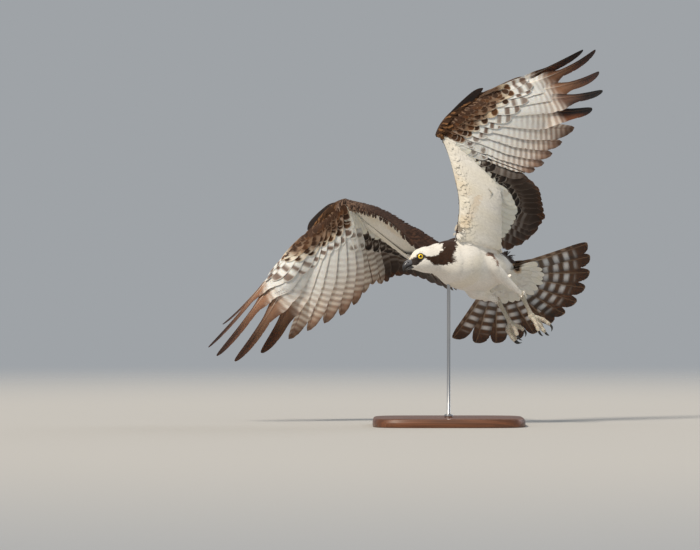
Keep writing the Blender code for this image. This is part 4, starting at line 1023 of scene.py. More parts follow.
def tail_coverts(material, rng):
    """The tiers of coverts over the roots of the tail feathers, below and above the fan."""
    root, along, side, below = tail_fan()
    across, t = COVERT_ACROSS, COVERT_T
    parts = []
    for tier, (count, spread, start_at, length, root_drop, tip_drop, half, over) in enumerate(TAIL_COVERTS):
        place = np.linspace(1, -1, count) + rng.normal(0, 0.02, count)
        turn = (TAIL_SPREAD * spread * place)[:, None]
        run = np.cos(turn) * along + np.sin(turn) * side
        sideways = np.cos(turn) * side - np.sin(turn) * along
        shorter = 1.0 if over else np.interp(place, *UNDER_TAIL_REACH)[:, None]
        reach = length * shorter * rng.normal(1, 0.05, (count, 1))
        rise = root_drop + (tip_drop - root_drop) * t + rng.normal(0, 0.3, (count, 1)) * t
        root_half = TAIL_ROOT_HALF if over else UNDER_TAIL_HALF
        start = root + side * (place * (root_half - 0.05 * start_at))[:, None]
        far = (start_at * shorter + t * reach)[..., None]
        spine = start[:, None] + run[:, None] * far + below * rise[..., None]
        trailing = unit(sideways + below * 0.06)
        under = unit(below - sideways * 0.06)
        wide = half * rng.normal(1, 0.05, (count, 1)) * COVERT_OUTLINE
        points, faces = flat_vanes(spine, trailing, under, wide, wide, across, 0.6)
        shape = (count, len(t), len(across))
        t_grid = np.broadcast_to(t[None, :, None], shape)
        if over:
            rim = soft_step(np.maximum(np.abs(across), t_grid), 0.85, 1.0)
            tone = mixed(MANTLE_BROWN, "6E5848", 0.6 * rim)
        else:
            vary = rng.uniform(0, 1, (count, 1, 1))
            tone = mixed(WHITE, CREAM, 0.3 * vary + 0.2 * soft_step(t_grid, 0.5, 1.0))
            aside = across[:, None] * wide[..., None, None]
            tone = marked(tone, spine[:, :, None] + trailing[:, None, None] * aside)
        barb = both_sides(barb_distance(t[None] * np.ones((count, 1)), reach, wide, wide, across))
        u = 0.5 + 0.42 * place[:, None, None] * spread + 0.0015 * across
        v = 0.06 + 0.12 * tier + 0.003 * t[:, None]
        bake = both_sides(texture_places(u, v * np.ones(shape)))
        parts.append((points, faces, both_sides(tone), barb, bake))
    join_parts("tail_coverts", parts, material, "tail_plumage")


def sections(middle, across, upward, wide, high, count, power=2.2):
    """Superellipse sections along a path: |x / wide|^power + |y / high|^power = 1 in each row."""
    angle = np.arange(count) * 2 * math.pi / count
    x = np.sign(np.cos(angle)) * np.abs(np.cos(angle)) ** (2 / power)
    y = np.sign(np.sin(angle)) * np.abs(np.sin(angle)) ** (2 / power)
    flat = across[:, None] * (wide[:, None] * x)[..., None]
    return middle[:, None] + flat + upward[:, None] * (high[:, None] * y)[..., None]


def limb(path, radii, count, across=None):
    """Round sections along a path, kept square to it: the across axis is made square row by row."""
    run = unit(np.gradient(path, axis=0))
    across = np.array([0.31, 0.82, 0.48]) if across is None else across
    side = unit(across - run * (run @ across)[:, None])
    radii = np.asarray(radii, float)
    return sections(path, side, np.cross(run, side), radii, radii, count, 2.0)


def closed_surface(rows_of_points):
    """Points and quads of a grid closed round its columns, with both ends closed across."""
    rows, ring, _ = rows_of_points.shape
    points = rows_of_points.reshape(-1, 3)
    return points, facing_out(points[None], tube_faces(rows, ring)[None])


def make_form(name, rows, material, slot, tone, around, along, replaced):
    """One closed piece from rows of points, with its texture places round it and along it."""
    points, faces = closed_surface(rows)
    make_piece(name, points, faces, material, slot, tone, None, texture_places(around, along), replaced)


def fused(surfaces, voxel, rounds):
    """One closed skin round closed surfaces that overlap: cut into voxels, then relaxed.

    Returns its points in millimetres, its quads and its outward normals.
    """
    starts = np.cumsum([0] + [len(points) for points, _ in surfaces[:-1]])
    points = np.concatenate([points for points, _ in surfaces])
    faces = np.concatenate([faces + start for (_, faces), start in zip(surfaces, starts)])
    mesh = bpy.data.meshes.new("fused")
    mesh.from_pydata((points * MM).tolist(), [], faces.tolist())
    obj = bpy.data.objects.new("fused", mesh)
    bpy.context.scene.collection.objects.link(obj)
    remesh = obj.modifiers.new("Voxels", "REMESH")
    remesh.mode = "VOXEL"
    remesh.voxel_size = voxel * MM
    relax = obj.modifiers.new("Relax", "SMOOTH")
    relax.factor = 0.5
    relax.iterations = rounds
    graph = bpy.context.evaluated_depsgraph_get()
    made = obj.evaluated_get(graph).to_mesh()
    points = np.empty(len(made.vertices) * 3, np.float32)
    made.vertices.foreach_get("co", points)
    normals = np.empty(len(made.vertices) * 3, np.float32)
    made.vertex_normals.foreach_get("vector", normals)
    quads = np.empty(len(made.loops), np.int32)
    made.loops.foreach_get("vertex_index", quads)
    bpy.data.objects.remove(obj)
    bpy.data.meshes.remove(mesh)
    return points.reshape(-1, 3) / MM, quads.reshape(-1, 4), normals.reshape(-1, 3)


def rings_surface(rings, place, across, upward, rows, count, power):
    """A loft of named rings (along, up, half width, half height), eased to more rows between them."""
    rings = np.asarray(rings, float)
    along = np.linspace(rings[0, 0], rings[-1, 0], rows)
    up, wide, high = (eased(along, rings[:, 0], rings[:, i]) for i in (1, 2, 3))
    middle = np.stack([place(a, 0, b) for a, b in zip(along, up)])
    across = np.tile(across, (rows, 1))
    upward = np.tile(upward, (rows, 1))
    return closed_surface(sections(middle, across, upward, wide, high, count, power))


def neck_surface():
    """The neck: sections eased from the torso's last ring to the head's first, along a smooth bend."""
    forward, up, half_width, half_height = TORSO_RINGS[-1]
    start = body(forward, 0, up)
    back, low, head_width, head_height = HEAD_RINGS[0]
    end = head(back, 0, low)
    reach = np.linalg.norm(end - start)
    t = np.linspace(-0.12, 1.12, 26)
    within = np.clip(t, 0, 1)[:, None]
    along = unit(FORWARD * (1 - within) + HEAD_FORWARD * within)
    side = unit(LEFT * (1 - within) + HEAD_LEFT * within)
    side = unit(side - along * (side * along).sum(-1, keepdims=True))
    ease = within * within * (3 - 2 * within)
    middle = start * (1 - ease) + end * ease
    middle = middle + (FORWARD * (1 - within) - HEAD_FORWARD * within) * reach * 0.5 * within * (1 - within)
    beyond = t[:, None] - within
    middle = middle + np.where(beyond < 0, FORWARD, HEAD_FORWARD) * beyond * reach
    inset = 1 - 0.5 * np.abs(beyond[:, 0])
    wide = (half_width * (1 - ease) + head_width * ease)[:, 0] * inset
    high = (half_height * (1 - ease) + head_height * ease)[:, 0] * inset
    return closed_surface(sections(middle, side, np.cross(along, side), wide, high, 64))


def thigh_surface(side_name):
    """The feathered thigh and shin, from inside the belly to the bare lower leg."""
    leg = LEGS[side_name]
    hip, knee, ankle = leg["hip"], leg["knee"], leg["ankle"]
    t = np.linspace(-0.12, 1, 34)
    path = knee + (ankle - knee) * t[:, None] + (hip - knee) * (0.25 * np.clip(0.3 - t, 0, 1))[:, None]
    radii = eased(t, THIGH_SHARES, THIGH_RADII)
    return closed_surface(limb(path, radii, 32))


def flat_form(middle, across, out, wide, thick, count):
    """A closed form of flat oval sections, square to the across axis and to the way out."""
    return closed_surface(sections(middle, across, unit(np.cross(across, out)), wide, thick, count, 2.0))


def arm_surfaces(wing):
    """The arm, the skin that droops from a raised arm's front edge, and the hand."""
    hand, wrist, shoulder = (wing[key] for key in ("hand", "wrist", "shoulder"))
    out = unit(wrist - shoulder)
    share = np.linspace(-0.3, 1.0, 48)
    thick = eased(share, ARM_SHARES, ARM_THICKNESS)
    within = np.clip(share, 0, 1)
    sink = np.clip(-share / 0.3, 0, 1)[:, None]
    lead, trail = (
        eased_points(within, ARM_KEYS, wing[key]) * (1 - sink) + body(forward, wing["side"] * left, up) * sink
        for key, forward, left, up in (("front", 58, 22, 10), ("back", -28, 24, 0))
    )
    wide = np.linalg.norm(lead - trail, axis=1) / 2
    forms = [flat_form((lead + trail) / 2, unit(lead - trail), out, wide, thick, 48)]
    if wing["fold"] is not None:
        share = np.linspace(0, 1, 36)
        high = eased_points(share, ARM_KEYS, wing["front"])
        low = eased_points(share, ARM_KEYS, wing["fold"])
        wide = np.linalg.norm(high - low, axis=1) / 2 + FOLD_THICK / 2
        thick = np.full(36, FOLD_THICK)
        forms.append(flat_form((high + low) / 2, unit(high - low), out, wide, thick, 28))
    run = unit(hand - wrist)
    ahead = feather_run(wing, 4.0)
    ahead = unit(ahead - run * (ahead @ run))
    share = np.linspace(PALM_RINGS[0][0], PALM_RINGS[-1][0], 24)
    keys, *sizes = np.transpose(PALM_RINGS)
    wide, thick = (eased(share, keys, size) for size in sizes)
    middle = wrist + run * (np.linalg.norm(hand - wrist) * share)[:, None] - ahead * (wide * 0.35)[:, None]
    forms.append(flat_form(middle, np.tile(ahead, (24, 1)), -run, wide, thick, 28))
    return forms


def rump_surface():
    """The rump, from inside the torso to the roots of the tail feathers."""
    along, side, below = tail_axes()
    start = body(TORSO_RINGS[0][0], 0, TORSO_RINGS[0][1])
    keys, *sizes = np.transpose(RUMP_RINGS)
    ahead = np.linspace(keys[0], keys[-1], 26)
    wide, thick, low = (eased(ahead, keys, size) for size in sizes)
    middle = start + along * (ahead + 6)[:, None] + below * low[:, None]
    side, below = (np.tile(axis, (len(ahead), 1)) for axis in (side, below))
    return closed_surface(sections(middle, side, below, wide, thick, 48))


def eye_frame(side):
    """The centre of one eye and its axes: where it looks, up across it and along it."""
    forward, out, up = EYE_PLACE
    look = unit(HEAD_FORWARD * 0.30 + HEAD_LEFT * side + HEAD_UP * 0.02)
    tall = unit(HEAD_UP - look * (HEAD_UP @ look))
    return head(forward, side * out, up), look, tall, np.cross(tall, look)


def brow_surface(side):
    """The low ridge over one eye, a tube along a bowed line."""
    centre, look, _, _ = eye_frame(side)
    t = np.linspace(-1, 1, 14)
    path = (
        centre
        + look * 5.5
        + HEAD_FORWARD * (t * 11.0 + 1.0)[:, None]
        + HEAD_UP * (8.2 - 2.0 * t - 1.6 * t * t)[:, None]
        - HEAD_LEFT * side * (0.6 + 2.6 * np.maximum(t, 0) ** 2)[:, None]
    )
    radii = eased(t, (-1, -0.5, 0, 0.5, 1), (1.2, 2.4, 2.9, 2.4, 1.2))
    return closed_surface(limb(path, radii, 12))


def body_place(points):
    """Forward, left and up of points along the body's axes, and the angle from the top of the body."""
    forward, left, up = points @ FORWARD, points @ LEFT, points @ UP
    return forward, left, up, np.degrees(np.arctan2(np.abs(left), up + 8.0))


def head_place(points):
    """Forward, left and up of points along the head's axes."""
    away = points - HEAD_CENTRE
    return away @ HEAD_FORWARD, away @ HEAD_LEFT, away @ HEAD_UP


def leg_distance(points, side_name):
    """How far points are from a leg's line from knee to ankle, and their share of the way along it."""
    knee = LEGS[side_name]["knee"]
    ankle = LEGS[side_name]["ankle"]
    shin = ankle - knee
    share = ((points - knee) @ shin) / (shin @ shin)
    nearest = knee + shin * np.clip(share, -0.1, 1.0)[:, None]
    return np.linalg.norm(points - nearest, axis=1), share


def wing_nearest(points, wing):
    """For points on an arm: the nearest place along the wing, how far off it is and the axes there."""
    places = np.linspace(0, LAST_PLACE, 88)
    roots = feather_root(wing, places)
    distance = np.linalg.norm(points[:, None] - roots[None], axis=2)
    nearest = distance.argmin(axis=1)
    run, _, below, _ = sheet_axes(wing, places, 0.1 * feather_length(places))
    return places[nearest], distance.min(axis=1), roots[nearest], run[nearest], below[nearest]


def skin_surface():
    """The flesh under the coat as one closed skin, with a hollow round each eye.

    Every point goes in by the depth of the coat there. Within the opening of the lids it goes inside
    the eyeball, and round the opening it stays just outside it.
    """
    surfaces = [
        rings_surface(TORSO_RINGS, body, LEFT, UP, 54, 72, 2.2),
        neck_surface(),
        rings_surface(HEAD_RINGS, head, HEAD_LEFT, HEAD_UP, 34, 48, 2.15),
        brow_surface(1),
        brow_surface(-1),
        rump_surface(),
        thigh_surface("left"),
        thigh_surface("right"),
        *arm_surfaces(LEFT_WING),
        *arm_surfaces(RIGHT_WING),
    ]
    points, quads, normals = fused(surfaces, 2.2, 9)
    depth = np.where(np.linalg.norm(points - HEAD_CENTRE, axis=1) < 45, 0.9, 2.0)
    arms = np.minimum(*(wing_nearest(points, wing)[1] for wing in (LEFT_WING, RIGHT_WING)))
    depth = np.where((arms < 60) & (body_off(points) > 1.15), 1.4, depth)
    points = points - normals * depth[:, None]
    for side in (1, -1):
        centre, look, _, _ = eye_frame(side)
        away = points - centre
        distance = np.linalg.norm(away, axis=1)
        angle = np.degrees(np.arccos(np.clip(away @ look / distance, -1, 1)))
        opening = math.degrees(math.asin(EYE_OPENING / EYE_RADIUS))
        outside = np.maximum(distance, EYE_RADIUS + 0.6)
        inside = np.minimum(distance, EYE_RADIUS - 1.2)
        wanted = np.where(angle < opening, inside, np.where(angle < 85, outside, distance))
        near = distance < EYE_RADIUS + 5
        points[near] = centre + away[near] * (wanted / distance)[near, None]
    return points, quads


def body_off(points):
    """How far out points are from the torso's axis, as a share of its own section: 1 is its surface."""
    forward, left, up, _ = body_place(points)
    rings = np.asarray(TORSO_RINGS, float)
    middle, wide, high = (np.interp(forward, rings[:, 0], rings[:, i]) for i in (1, 2, 3))
    return np.sqrt((left / wide) ** 2 + ((up - middle) / high) ** 2)


def coat_regions(points):
    """Shares, from 0 to 1, that a point of the coat belongs to the head, neck, each thigh and each arm."""
    ahead, _, _ = head_place(points)
    forward, _, _, _ = body_place(points)
    off = body_off(points)
    near_head = np.linalg.norm(points - HEAD_CENTRE, axis=1)
    shares = {"head": soft_step(ahead, -34, -14) * soft_step(near_head, 62, 48)}
    shares["neck"] = soft_step(forward, 62, 84) * soft_step(near_head, 130, 110) * (1 - shares["head"])
    for side_name in ("left", "right"):
        distance, share = leg_distance(points, side_name)
        near_leg = soft_step(distance, 27, 21) * (share > -0.3)
        shares[f"thigh_{side_name}"] = near_leg * soft_step(off, 1.0, 1.2)
    for name, wing in (("left", LEFT_WING), ("right", RIGHT_WING)):
        distance = wing_nearest(points, wing)[1]
        clear = (1 - shares["head"]) * (1 - shares["neck"])
        legs = (1 - shares["thigh_left"]) * (1 - shares["thigh_right"])
        shares[f"arm_{name}"] = soft_step(distance, 130, 110) * soft_step(off, 1.04, 1.25) * clear * legs
    return shares


def coat_flow(points, shares):
    """Direction in which the coat lies: back along head and body, down the shins, out along the arms."""
    flow = np.tile(-FORWARD, (len(points), 1))
    flow = flow * (1 - shares["head"])[:, None] - HEAD_FORWARD * shares["head"][:, None]
    for side_name in ("left", "right"):
        leg = LEGS[side_name]
        shin = unit(leg["ankle"] - leg["knee"])
        share = shares[f"thigh_{side_name}"][:, None]
        flow = flow * (1 - share) + shin * share
    for name, wing in (("left", LEFT_WING), ("right", RIGHT_WING)):
        share = shares[f"arm_{name}"][:, None]
        flow = flow * (1 - share) + wing_nearest(points, wing)[3] * share
    return unit(flow)


SHOULDER_FRONT = ((0, 46, 68, 90, 111, 140), (112, 109, 111, 108, 107, 104))
SHOULDER_BACK = ((-110, 0, 60, 76, 85, 93, 102), (74, 66, 60, 46, 74, 104, 112))
# The eye stripe's middle and half height, and the dark lores' upper and lower edge, along the head.
EYE_STRIPE = ((-66, -48, -34, -13.3, -2, 3), (-9, -10.3, -13, -11.1, -4, 1))
STRIPE_HALF = ((-66, -48, -34, -13.3, -2, 3), (22, 20, 13.9, 8.7, 5.6, 4.5))
LORES_TOP = ((2, 12, 22, 34), (5, 10.5, 6, 4))
LORES_FOOT = ((2, 8, 20, 24, 34), (2, -3.5, -11, -13, -11))
# Dark marks on the white: place to the right and up of the torso's centre, radius.
KNEE_MARKS = (((48, 19), 8.5), ((54, 11), 7.5), ((60, 3), 8.0))
RUMP_MARK = ((115, -13), 9.5)


def marked(tone, points):
    """The tone with the brown marks of knee and rump, which are round as seen from in front."""
    fray = wobble(points, 7.0, 14) * 1.6 + wobble(points, 3.0, 15) * 1.2
    for (aside, high), radius in KNEE_MARKS:
        away = np.hypot(points[..., 0] - aside, points[..., 2] - high) + fray
        knee = soft_step(away, radius + 1.0, radius - 2.0) * soft_step(points[..., 1], 8, 0)
        tone = mixed(tone, "7A4A2C", 0.85 * knee)
    (aside, high), radius = RUMP_MARK
    away = np.hypot((points[..., 0] - aside) * 1.25, (points[..., 2] - high) * 0.85) + 0.6 * fray
    behind = soft_step(points[..., 1], 4, 12)
    tone = mixed(tone, "B98A4A", 0.7 * behind * soft_step(away, radius + 3, radius))
    return mixed(tone, "2E1C12", behind * soft_step(away, radius, radius - 3))


def fold_shares(points, normals, wing):
    """How much points lie on the dark face of a raised arm's front, and on that face's pale rim."""
    share = np.linspace(0, 1, 40)
    high = eased_points(share, ARM_KEYS, wing["front"])
    low = eased_points(share, ARM_KEYS, wing["fold"])
    deep = np.linalg.norm(high - low, axis=1)
    rise = unit(high - low)
    out = unit(wing["wrist"] - wing["shoulder"])
    outward = unit(np.cross(rise, out))
    outward = outward * -np.sign(outward[:, 1:2])
    nearest = np.linalg.norm(points[:, None] - ((low + high) / 2)[None], axis=2).argmin(axis=1)
    away = points - low[nearest]
    height = (away * rise[nearest]).sum(-1)
    off = np.abs((away * outward[nearest]).sum(-1))
    beyond = np.abs((away * out).sum(-1))
    turned = (normals * outward[nearest]).sum(-1)
    facing = soft_step(turned, -0.45, -0.05)
    within = soft_step(off, 24, 16) * soft_step(height, -14, -9) * soft_step(height - deep[nearest], 26, 16)
    within = within * soft_step(beyond, 34, 22)
    return facing * within, soft_step(height, 4.5, 0.5) * soft_step(turned, -0.05, 0.2)


def head_coat(points, tone, speckle, fray):
    """The tone with the head's marks over it: eye stripe, flecked crown, warm brow and dark lores."""
    ahead, across, high = head_place(points)
    on_head = soft_step(ahead, -72, -60)
    middle = np.interp(ahead, *EYE_STRIPE)
    half = np.interp(ahead, *STRIPE_HALF)
    torn = fray * (0.4 + 0.8 * soft_step(ahead, -8, -30))
    stripe = soft_step(half - np.abs(high - middle) + torn, -1.2, 1.2)
    stripe = stripe * soft_step(np.abs(across), 7, 12) * on_head * soft_step(ahead, 6, 2)
    tone = mixed(tone, mixed(CHOCOLATE, BLACK_BROWN, 0.5 * speckle), stripe)
    crown = soft_step(high, 10, 20) * soft_step(ahead, -40, -10) * on_head
    flecks = soft_step(wobble(points, 2.2, 8), 0.45, 0.8) * soft_step(ahead, 0, -30)
    tone = mixed(tone, "7A5536", 0.75 * flecks * crown * (1 - stripe))
    tone = mixed(tone, "E9D2AE", 0.30 * soft_step(ahead, 18, 32) * soft_step(high, -2, 6))
    lores = soft_step(np.interp(ahead, *LORES_TOP) - high, -1.0, 1.0) * soft_step(ahead, 1, 4)
    lores = lores * soft_step(high - np.interp(ahead, *LORES_FOOT), -1.2, 1.2)
    lores = lores * soft_step(np.abs(across), 3, 6)
    return mixed(tone, mixed("231C19", "3A322E", soft_step(ahead, 16, 30)), lores)


def lining_coat(points, facing, place, behind, wing, speckle):
    """The underside of an arm: white and cream, warmer in its crease, brown at the hand and the front."""
    lining = mixed(WHITE, CREAM, 0.35 + 0.3 * wobble(points, 30.0, 9))
    crease = soft_step(np.abs(behind + 26 + 8 * wobble(points, 40.0, 12)), 16, 4)
    lining = mixed(lining, "D8B077", 0.45 * crease * (0.5 + 0.5 * wobble(points, 22.0, 13)))
    hand_lining = mixed("7A5534", "38220F", soft_step(speckle, 0.1, 0.35))
    corner = soft_step(np.linalg.norm(points - wing["front"][3], axis=1), 30, 20)
    lining = mixed(lining, hand_lining, np.maximum(soft_step(9.9 - place, 0.0, 0.6), corner))
    front_line = eased_points(np.linspace(0, 1, 60), ARM_KEYS, wing["front"])
    off_front = np.linalg.norm(points[:, None] - front_line[None], axis=2).min(axis=1)
    edge = soft_step(off_front, 9, 5) * soft_step(facing, 0.5, 0.1)
    return mixed(lining, "2E1F18", 0.9 * edge)


def arm_coat(points, normals, share, wing, speckle):
    """The colour of an arm's coat, and its share of each point with the fold's own part taken in."""
    place, _, root, run, below = wing_nearest(points, wing)
    facing = (normals * below).sum(-1)
    behind = ((points - root) * run).sum(-1)
    rear = soft_step(behind, -6, 6) * soft_step(place, 11, 14)
    gain, least, most = (0.6, -0.25, 0.15) if wing["fold"] is None else (0.15, 0.0, 0.3)
    under = soft_step(facing + gain * rear, least, most)
    upper = mixed(MANTLE_BROWN, "4A382D", speckle)
    arm = mixed(upper, lining_coat(points, facing, place, behind, wing, speckle), under)
    if wing["fold"] is None:
        return arm, share
    dark, rim = fold_shares(points, normals, wing)
    far = soft_step(13.0 - place, -3, 3)
    face = mixed("2A1B15", "4A3226", speckle**2)
    face = mixed(face, "8C7260", 0.6 * far * soft_step(speckle, 0.3, 0.7))
    face = mixed(face, "B5A08A", rim * soft_step(speckle, 0.15, 0.5))
    return mixed(arm, face, dark), np.maximum(share, dark)


def coat_tones(points, normals, rng):
    """The colour of the coat at each point, from its place on the body."""
    speckle = rng.uniform(0, 1, len(points))
    fray = wobble(points, 7.0, 3) * 2.6 + wobble(points, 3.0, 4) * 1.5
    tone = mixed(WHITE, GREY_WHITE, 0.15 * speckle + 0.15 * (0.5 + 0.5 * wobble(points, 26.0, 5)))
    tone = mixed(tone, CREAM, 0.35 * soft_step(wobble(points, 34.0, 6), 0.0, 0.9))
    shares = coat_regions(points)
    forward, _, _, angle = body_place(points)
    front = np.interp(angle, *SHOULDER_FRONT)
    back = np.interp(forward, *SHOULDER_BACK)
    mantle = soft_step(front - forward + fray, -1.5, 1.5) * soft_step(back - angle + 2.2 * fray, -3.0, 3.0)
    brown = mixed(MANTLE_BROWN, CHOCOLATE, 0.35 * speckle)
    tone = mixed(tone, brown, mantle)
    _, _, below = tail_axes()
    over_rump = soft_step((points - body(TORSO_RINGS[0][0], 0, TORSO_RINGS[0][1])) @ below, 6, 0)
    tone = mixed(tone, brown, soft_step(forward, -96, -112) * over_rump)
    tone = head_coat(points, tone, speckle, fray)
    tone = np.where((normals[:, 1] < 0)[:, None], marked(tone, points), tone)
    for wing, name in ((LEFT_WING, "left"), (RIGHT_WING, "right")):
        tone = mixed(tone, *arm_coat(points, normals, shares[f"arm_{name}"], wing, speckle))
    return tone


TUFT_T = np.array([0.0, 0.35, 0.7, 0.9, 1.0])
TUFT_OUTLINE = np.array([0.35, 0.9, 1.0, 0.72, 0.18])


def tufts(roots, normals, flow, length, width, rise, radius, rng):
    """Small body feathers: three-sided vanes that leave the skin at a slant and bend along it.

    Height above the skin at a share t is rise(1.35 t^0.7 - 0.35) less the fall of a circle of the
    body's own radius, (length t)^2 / 2 radius. Returns the points of all, the triangles of one and the
    distances along barbs.
    """
    count = len(roots)
    flow = flow - normals * (flow * normals).sum(-1, keepdims=True)
    side = np.cross(normals, unit(flow))
    flow = unit(unit(flow) + side * rng.normal(0, 0.06, (count, 1)))
    side = np.cross(normals, flow)
    reach = length[:, None] * TUFT_T
    height = rise[:, None] * (1.35 * TUFT_T**0.7 - 0.35) - reach**2 / (2 * radius[:, None])
    spine = roots[:, None] + flow[:, None] * reach[..., None] + normals[:, None] * height[..., None]
    half = width[:, None] / 2 * TUFT_OUTLINE
    sag = 0.25 + half**2 / (2 * radius[:, None])
    edge = normals[:, None] * sag[..., None]
    points = np.stack(
        [
            spine - side[:, None] * half[..., None] - edge,
            spine + normals[:, None] * 0.22 + 0 * edge,
            spine + side[:, None] * half[..., None] - edge,
        ],
        axis=2,
    )
    quads = grid_faces(len(TUFT_T), 3, True)
    faces = np.concatenate([quads[:, [0, 1, 2]], quads[:, [0, 2, 3]]])
    last = 3 * (len(TUFT_T) - 1)
    faces = np.concatenate([faces, [[0, 2, 1], [last, last + 1, last + 2]]])
    barb = reach[..., None] - 0.9 * np.stack([half, 0 * half, half], axis=2)
    return points, faces[:, ::-1], barb


def round_axis(points, origin, axis, upward, low, high):
    """Place on an unwrap round an axis: share along it, and share of the turn round it."""
    away = points - origin
    side = np.cross(axis, upward)
    along = (away @ axis - low) / (high - low)
    turn = np.arctan2(away @ side, away @ upward) / (2 * math.pi) + 0.5
    return np.stack([np.clip(along, 0.01, 0.99), np.clip(turn, 0.01, 0.99)], axis=-1)


def coat_unwrap(points, region):
    """The unwrap of each region of the skin: a cylinder round the body, head, leg or arm."""
    if region == "head":
        return round_axis(points, HEAD_CENTRE, HEAD_FORWARD, HEAD_UP, -50, 40)
    if region.startswith("thigh"):
        leg = LEGS[region[6:]]
        knee, ankle = leg["knee"], leg["ankle"]
        axis = unit(ankle - knee)
        end = np.linalg.norm(ankle - knee) + 5
        return round_axis(points, knee, axis, unit(np.cross(axis, LEFT)), -30, end)
    if region.startswith("arm"):
        wing = LEFT_WING if region == "arm_left" else RIGHT_WING
        shoulder, wrist = wing["shoulder"], wing["wrist"]
        axis = unit(wrist - shoulder)
        square = unit(feather_run(wing, 15.0) - axis * (feather_run(wing, 15.0) @ axis))
        return round_axis(points, shoulder, axis, square, -70, np.linalg.norm(wrist - shoulder) + 160)
    return round_axis(points, np.zeros(3), FORWARD, -UP, -125, 170)


# Regions of the coat: spacing, length, width, rise above the skin, and radius of the body there.
COAT = {
    "head": (2.1, 8.0, 3.6, 0.8, 26.0),
    "neck": (2.9, 16.0, 6.5, 1.4, 45.0),
    "body": (3.1, 19.0, 8.0, 1.5, 60.0),
    "thigh_left": (2.5, 13.0, 5.0, 1.0, 60.0),
    "thigh_right": (2.5, 13.0, 5.0, 1.0, 60.0),
    "arm_left": (4.0, 22.0, 9.5, 1.3, 130.0),
    "arm_right": (4.0, 22.0, 9.5, 1.3, 130.0),
}
MOST_TUFTS = 7400


def scattered(points, quads, spacing, wanted, rng):
    """Random places on the faces called wanted, no more than one in each cube of the spacing.

    Returns the places and the outward directions of their faces.
    """
    corners = points[quads[wanted]]
    cross = np.cross(corners[:, 2] - corners[:, 0], corners[:, 3] - corners[:, 1])
    area = np.linalg.norm(cross, axis=1) / 2
    number = int(area.sum() / spacing**2 * 2.4)
    chosen = rng.choice(len(area), number, p=area / area.sum())
    a, b = rng.uniform(0, 1, (2, number, 1))
    picked = corners[chosen]
    near = picked[:, 0] * (1 - a) + picked[:, 1] * a
    far = picked[:, 3] * (1 - a) + picked[:, 2] * a
    places = near * (1 - b) + far * b
    _, first = np.unique(np.floor(places / spacing).astype(int), axis=0, return_index=True)
    return places[first], unit(cross[chosen][first])


def arm_tufts(roots, normals, region, radius):
    """Shares of the size of tufts on an arm, and the radius they bend to.

    They are smaller and bend more on its edges, and are small over the rear edge and on the fold.
    """
    wing = LEFT_WING if region == "arm_left" else RIGHT_WING
    _, _, line, run, below = wing_nearest(roots, wing)
    facing = (normals * below).sum(-1)
    behind = ((roots - line) * run).sum(-1)
    over_rear = soft_step(behind, -26, -8) * soft_step(facing, 0.1, -0.1)
    size = np.interp(np.abs(facing), (0.3, 0.95), (0.4, 1.0)) * (1 - 0.65 * over_rear)
    if wing["fold"] is not None:
        size = size * (1 - 0.4 * fold_shares(roots, normals, wing)[0])
    return size, np.interp(np.abs(facing), (0.3, 0.95), (14.0, radius))


def coat(points, quads, material):
    """The small body feathers of every region, in pieces, with the markings of the skin under them."""
    rng = np.random.default_rng(41)
    sizes = bpy.context.scene.osprey_sizes
    centres = points[quads].mean(axis=1)
    shares = coat_regions(centres)
    names = list(shares)
    strength = np.stack([shares[name] for name in names] + [np.full(len(centres), 0.45)])
    owner = strength.argmax(axis=0)
    names.append("body")
    covered = np.zeros(len(centres), bool)
    for side in (1, -1):
        centre, look, _, _ = eye_frame(side)
        away = centres - centre
        covered |= (np.linalg.norm(away, axis=1) < EYE_RADIUS + 2.5) & (away @ look > 3.6)
    ahead, _, _ = head_place(centres)
    covered |= (ahead > HEAD_RINGS[-1][0] - 2.0) & (np.linalg.norm(centres - HEAD_CENTRE, axis=1) < 60)
    for index, region in enumerate(names):
        wanted = (owner == index) & ~covered
        spacing, length, width, rise, radius = COAT[region]
        length, width = length * sizes.tuft_size, width * sizes.tuft_size
        roots, normals = scattered(points, quads, spacing * sizes.tuft_spacing, wanted, rng)
        count = len(roots)
        local = coat_regions(roots)
        flow = coat_flow(roots, local)
        size = rng.normal(1, 0.10, count)
        bend = np.full(count, radius)
        if region == "head":
            ahead, _, _ = head_place(roots)
            size = size * np.interp(ahead, (-30, 0, 20, 34), (1.35, 1.0, 0.7, 0.5))
        if region.startswith("arm"):
            smaller, bend = arm_tufts(roots, normals, region, radius)
            size = size * smaller
        shape = (length * size, width * size, rise * size, bend)
        vanes, faces, barb = tufts(roots, normals, flow, *shape, rng)
        middle = roots + flow * (0.6 * length * size)[:, None]
        tone = coat_tones(middle, normals, rng) * rng.normal(1, 0.03, (count, 1))
        # Painted shade: each tuft is a little darker toward its root, under the tufts over it, and lighter at
        # its tip.
        shade = 0.94 + 0.07 * TUFT_T
        tones = tone[:, None, None] * shade[None, :, None, None] * np.ones((1, 1, 3, 1))
        place = coat_unwrap(roots, region)
        patch = texture_places(0.003 * TUFT_T[:, None], np.array([-0.0015, 0.0, 0.0015]))
        bake = place[:, None, None] + patch
        pieces = math.ceil(count / MOST_TUFTS)
        for number, chosen in enumerate(np.array_split(np.argsort(place[:, 0]), pieces)):
            name = f"coat_{region}" + (f"_{number + 1}" if pieces > 1 else "")
            shifted = faces + np.arange(len(chosen))[:, None, None] * vanes.shape[1] * vanes.shape[2]
            mesh = (vanes[chosen], shifted.reshape(-1, 3), material, coat_slot(region))
            make_piece(name, *mesh, tones[chosen], barb[chosen], bake[chosen])


def coat_slot(region):
    """The record's material slot that a region of the coat takes."""
    if region == "head":
        return "head_plumage"
    return "wing_plumage" if region.startswith("arm") else "white_plumage"


